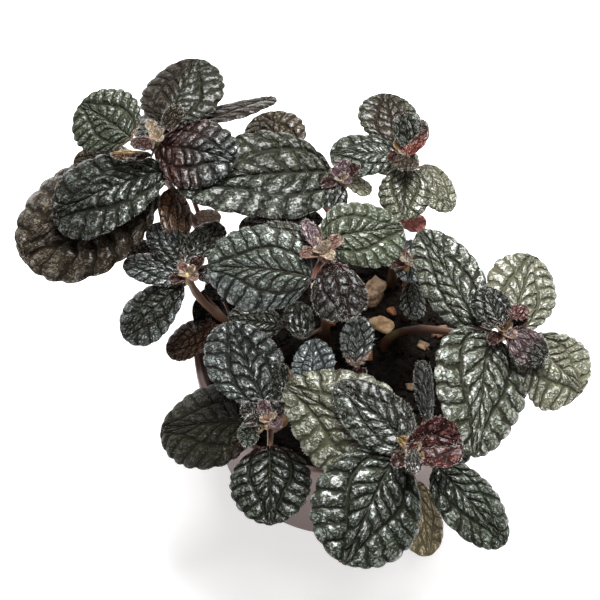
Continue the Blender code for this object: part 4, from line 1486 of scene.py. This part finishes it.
def turned(profile: list[tuple[float, float]], sides: int) -> bmesh.types.BMesh:
    """Spins an open profile about the Z axis.

    Args:
        profile: Radius and height of each point.
        sides: How many sides the turned shape has.

    Returns:
        The mesh, with its seam and poles closed and its faces outwards.
    """
    bm = bmesh.new()
    points = [bm.verts.new((radius * MM, 0, height * MM)) for radius, height in profile]
    edges = [bm.edges.new(pair) for pair in zip(points, points[1:])]
    bmesh.ops.spin(
        bm, geom=points + edges, axis=(0, 0, 1), cent=(0, 0, 0),
        angle=math.tau, steps=sides, use_merge=True,
    )
    bmesh.ops.remove_doubles(bm, verts=bm.verts, dist=0.01 * MM)
    bmesh.ops.recalc_face_normals(bm, faces=bm.faces)
    return bm


@dataclass(frozen=True)
class Pot:
    """The round nursery pot: a tapered wall, a stepped and beaded rim, a foot ring and drain holes."""

    base_radius: float = 55.0
    wall_top_radius: float = 61.5
    rim_radius: float = 64.0
    height: float = 77.0
    rim_depth: float = 9.0
    wall: float = 1.8
    floor: float = 2.4
    sides: int = 144
    drain_count: int = 6
    drain_radius: float = 4.0
    drain_circle: float = 33.0
    drain_middle: float = 1.5
    drain_cut: float = 8.0
    sharp_angle: float = 32.0

    def radius(self, height: float) -> float:
        """The outside radius of the tapered wall at a height."""
        return self.base_radius + (self.wall_top_radius - self.base_radius) * height / self.height

    def profile(self) -> list[tuple[float, float]]:
        """The wall's outline, from the middle of the underside round the rim to the middle of the floor.

        Returns:
            Radius and height of each point.
        """
        under_rim = self.height - self.rim_depth
        points = [(0.0, 0.8), (self.base_radius - 7.0, 0.8), (self.base_radius - 6.2, 0.0)]
        points += self.arc((self.base_radius - 1.4, 1.4), 1.4, -90, 0, 5)
        points += [(self.radius(level), level) for level in (4, 34, under_rim - 1.2)]
        points += [(self.radius(under_rim) + 0.35, under_rim - 0.25), (self.rim_radius - 0.75, under_rim)]
        points += self.arc((self.rim_radius - 0.85, under_rim + 0.6), 0.6, -90, 0, 4)
        points += self.arc((self.rim_radius - 0.9, self.height - 0.9), 0.9, 0, 100, 6)
        points += self.arc((self.rim_radius - self.wall - 0.2, self.height - 0.8), 0.7, 100, 180, 4)
        points += [(self.radius(under_rim) - self.wall, under_rim - 1.0)]
        points += [(self.radius(self.floor) - self.wall, self.floor + 1.5)]
        points += [(self.radius(self.floor) - self.wall - 1.5, self.floor), (0.0, self.floor)]
        return points

    def arc(self, centre: tuple[float, float], radius: float, start: float, end: float,
            steps: int) -> list[tuple[float, float]]:
        """Points round part of a circle.

        Args:
            centre: Its centre, as radius and height.
            radius: Its radius.
            start: The angle that it starts at, from outwards towards up.
            end: The angle that it ends at.
            steps: How many steps it takes.

        Returns:
            The points.
        """
        angles = [math.radians(start + (end - start) * step / steps) for step in range(steps + 1)]
        return [(centre[0] + radius * math.cos(a), centre[1] + radius * math.sin(a)) for a in angles]

    def build(self) -> None:
        """Builds the pot in place of its solid."""
        bm = turned(self.profile(), self.sides)
        pot = finished("nursery_pot", bm, [PlasticFinish().material()])
        cutters = []
        for index in range(self.drain_count):
            angle = math.tau * (index + 0.5) / self.drain_count
            x, y = self.drain_circle * math.cos(angle), self.drain_circle * math.sin(angle)
            cutter = bmesh.new()
            bmesh.ops.create_cone(
                cutter, cap_ends=True, segments=32, radius1=self.drain_radius * MM,
                radius2=self.drain_radius * MM, depth=self.drain_cut * MM,
                matrix=Matrix.Translation(Vector((x, y, self.drain_middle)) * MM),
            )
            cutters.append(finished(f"drain_{index}", cutter, []))
        group = bpy.data.collections.new("drains")
        for cutter in cutters:
            group.objects.link(cutter)
        boolean = pot.modifiers.new("Drains", "BOOLEAN")
        boolean.operation = "DIFFERENCE"
        boolean.operand_type = "COLLECTION"
        boolean.collection = group
        boolean.solver = "EXACT"
        bpy.context.view_layer.update()
        cut = bpy.data.meshes.new_from_object(pot.evaluated_get(bpy.context.evaluated_depsgraph_get()))
        pot.modifiers.clear()
        pot.data = cut
        cut.shade_smooth()
        cut.set_sharp_from_angle(angle=math.radians(self.sharp_angle))
        for cutter in cutters:
            bpy.data.objects.remove(cutter)
        bpy.data.collections.remove(group)
        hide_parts("pot")


@dataclass(frozen=True)
class Chip:
    """A chip of bark on the soil."""

    place: tuple[float, float]
    length: float
    turn: float
    tilt: float
    bark: Bark


@dataclass(frozen=True)
class Soil:
    """The potting mix: a lumpy crumbly top, loose crumbs and bark chips.

    Each of the noises that roughen the top has a strength, a layer of its own and a fineness.
    """

    top: float = 66.0
    edge: float = 57.8
    depth: float = 12.0
    rings: int = 56
    sides: int = 150
    crumbs: int = 520
    crumb_seed: int = 11
    chip_count: int = 22
    chip_seed: int = 7
    mound_radius: float = 64.0
    noises: tuple[tuple[float, float, float], ...] = ((1.6, 3.0, 0.16), (1.1, 9.0, 0.42), (0.6, 5.0, 1.1))

    def height(self, x: float, y: float) -> float:
        """The height of the soil's top, without its crumbs.

        Args:
            x: The place to the right.
            y: The place to the back.

        Returns:
            The height there.
        """
        reach = math.hypot(x, y) / self.mound_radius
        lumps = math.sin(0.21 * x) * math.cos(0.17 * y) + 0.6 * math.sin(0.37 * y - 0.29 * x)
        return self.top + 1.5 * (1 - reach * reach) + lumps

    def chips(self) -> list[Chip]:
        """The chips that show between the leaves, and some more by chance.

        Returns:
            The chips.
        """
        found = [
            Chip((16, 33), 14, 65, 8, Bark.TAN),
            Chip((19, 15), 10, -32, -6, Bark.BRIGHT),
            Chip((23.5, 22), 5, -55, 0, Bark.BROWN),
            Chip((37, 4), 6, -31, 10, Bark.TAN),
        ]
        chance = random.Random(self.chip_seed)
        while len(found) < self.chip_count:
            place = (chance.uniform(-50, 50), chance.uniform(-50, 50))
            if math.hypot(*place) < 50 and min(math.dist(place, stem.root) for stem in STEMS) > 8:
                found.append(Chip(
                    place, chance.uniform(4, 10), chance.uniform(0, 360), chance.uniform(-25, 25),
                    chance.choice((Bark.TAN, Bark.BRIGHT, Bark.BROWN, Bark.BROWN)),
                ))
        return found

    def ground(self) -> bmesh.types.BMesh:
        """The mix itself: a plug whose top is roughened by noise at three scales.

        Returns:
            The mesh.
        """
        profile = [(0.0, self.top - self.depth), (self.edge - 1.0, self.top - self.depth)]
        profile += [(self.edge, self.top - 1.5)]
        profile += [(self.edge * (1 - ring / self.rings), self.top) for ring in range(self.rings + 1)]
        bm = turned(profile, self.sides)
        for vert in bm.verts:
            if vert.co.z > (self.top - 0.3) * MM:
                x, y = vert.co.x / MM, vert.co.y / MM
                rough = sum(
                    strength * noise.noise(Vector((x, y, layer)) * fineness)
                    for strength, layer, fineness in self.noises
                )
                shore = 1 - float(ease(self.edge - 3, self.edge, math.hypot(x, y)))
                vert.co.z = (self.height(x, y) + rough * shore) * MM
        return bm

    def lump(self, bm: bmesh.types.BMesh, middle: Vector, size: Vector, turn: Matrix,
             detail: int) -> list[bmesh.types.BMVert]:
        """Adds one uneven lump.

        Args:
            bm: The mesh to add it to.
            middle: Its middle.
            size: Its three half sizes.
            turn: Its turn.
            detail: How often its faces are divided.

        Returns:
            Its vertices.
        """
        made = bmesh.ops.create_icosphere(bm, subdivisions=detail, radius=1.0)["verts"]
        for vert in made:
            swell = 1 + 0.55 * noise.noise(vert.co * 1.3 + middle * 0.7)
            corner = Vector(math.copysign(abs(value) ** 0.7, value) for value in vert.co)
            vert.co = (turn @ Vector(a * b * swell for a, b in zip(corner, size)) + middle) * MM
        return made

    def loose_crumbs(self) -> bmesh.types.BMesh:
        """The crumbs that lie on the mix.

        Returns:
            The mesh.
        """
        chance = random.Random(self.crumb_seed)
        bm = bmesh.new()
        for _ in range(self.crumbs):
            reach = (self.edge - 2) * math.sqrt(chance.random())
            angle = chance.uniform(0, math.tau)
            x, y = reach * math.cos(angle), reach * math.sin(angle)
            size = Vector((chance.uniform(0.5, 1.6), chance.uniform(0.4, 1.1), chance.uniform(0.3, 0.8)))
            turn = Matrix.Rotation(chance.uniform(0, math.tau), 3, "Z")
            self.lump(bm, Vector((x, y, self.height(x, y) + 0.5)), size, turn, 1)
        return bm

    def loose_chips(self) -> bmesh.types.BMesh:
        """The bark chips that lie on the mix, with a material slot for each kind of bark.

        Returns:
            The mesh.
        """
        kinds = list(Bark)
        bm = bmesh.new()
        for chip in self.chips():
            x, y = chip.place
            middle = Vector((x, y, self.height(x, y) + 0.9))
            size = Vector((chip.length / 2, chip.length * 0.32, chip.length * 0.17))
            turned_by = Matrix.Rotation(math.radians(chip.turn), 3, "Z")
            tilted_by = Matrix.Rotation(math.radians(chip.tilt), 3, "X")
            made = self.lump(bm, middle, size, turned_by @ tilted_by, 3)
            for face in {face for vert in made for face in vert.link_faces}:
                face.material_index = kinds.index(chip.bark)
        return bm

    def build(self) -> None:
        """Builds the soil, its crumbs and its chips in place of the soil's solid."""
        mix = SoilFinish().material()
        ground = finished("potting_mix", self.ground(), [mix])
        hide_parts("soil")
        crumbs = finished("soil_crumbs", self.loose_crumbs(), [mix])
        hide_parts("soil")
        chips = finished("bark_chips", self.loose_chips(), [kind.value.material() for kind in Bark])
        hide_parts("soil")


@dataclass(frozen=True)
class Lamp:
    """A square soft light, its side in metres and its power in watts."""

    name: str
    place: Point
    size: float
    power: float


@dataclass(frozen=True)
class Studio:
    """The white floor, the soft lights and the camera at the photograph's angle."""

    aim: Point = (-0.0175, -0.005, 0.12)
    elevation: float = 57.0
    distance: float = 0.80
    lens: float = 115.0
    sensor: float = 36.0
    floor_size: float = 6.0
    sky: float = 0.15
    lamps: tuple[Lamp, ...] = (
        Lamp("window", (0.12, 0.80, 1.15), 0.7, 33.0),
        Lamp("ceiling", (0.15, 0.1, 1.4), 0.5, 16.0),
        Lamp("front", (-0.5, -0.9, 1.0), 0.9, 2.5),
    )

    def light(self, lamp: Lamp) -> None:
        """Adds a light that faces the plant.

        Args:
            lamp: What it is like and where it hangs.
        """
        data = bpy.data.lights.new(lamp.name, "AREA")
        data.shape = "SQUARE"
        data.size = lamp.size
        data.energy = lamp.power
        placed = bpy.data.objects.new(lamp.name, data)
        placed.location = lamp.place
        placed.rotation_euler = (Vector(self.aim) - placed.location).to_track_quat("-Z", "Y").to_euler()
        bpy.context.scene.collection.objects.link(placed)

    def camera(self) -> None:
        """Puts the camera where the photograph was taken from."""
        tilt = math.radians(self.elevation)
        data = bpy.data.cameras.new("photo_camera")
        data.lens = self.lens
        data.sensor_width = self.sensor
        camera = bpy.data.objects.new("photo_camera", data)
        camera.location = Vector(self.aim) + Vector((0, -math.cos(tilt), math.sin(tilt))) * self.distance
        camera.rotation_euler = (Vector(self.aim) - camera.location).to_track_quat("-Z", "Y").to_euler()
        bpy.context.scene.collection.objects.link(camera)
        bpy.context.scene.camera = camera

    def floor(self) -> None:
        """Lays the floor, which is staging and not part of the plant."""
        bm = bmesh.new()
        bmesh.ops.create_grid(bm, x_segments=1, y_segments=1, size=self.floor_size / 2)
        mesh = bpy.data.meshes.new("floor")
        bm.to_mesh(mesh)
        bm.free()
        mesh.materials.append(FloorFinish().material())
        floor = bpy.data.objects.new("floor", mesh)
        bpy.context.scene.collection.objects.link(floor)

    def build(self) -> None:
        """Builds the floor, the lights and the camera."""
        self.floor()
        world = bpy.data.worlds.new("soft_white")
        world.use_nodes = True
        background = world.node_tree.nodes["Background"]
        background.inputs["Color"].default_value = (1.0, 1.0, 1.0, 1.0)
        background.inputs["Strength"].default_value = self.sky
        bpy.context.scene.world = world
        for lamp in self.lamps:
            self.light(lamp)
        self.camera()
        bpy.context.scene.view_settings.view_transform = "Standard"


def main() -> None:
    """Builds the studio, the pot, the soil and each leafy stem."""
    Studio().build()
    LOG.info("studio ready")
    Pot().build()
    Soil().build()
    palette = Palette(
        leaf_top=LeafTopFinish().material(),
        underside=UndersideFinish().material(),
        stalk=StalkFinish().material(),
        hair=HairFinish().material(),
    )
    for stem in STEMS:
        stem.build(palette)
        LOG.info("%s ready", stem.node)


if __name__ == "__main__":
    logging.basicConfig(level=logging.INFO, format="%(message)s")
    main()
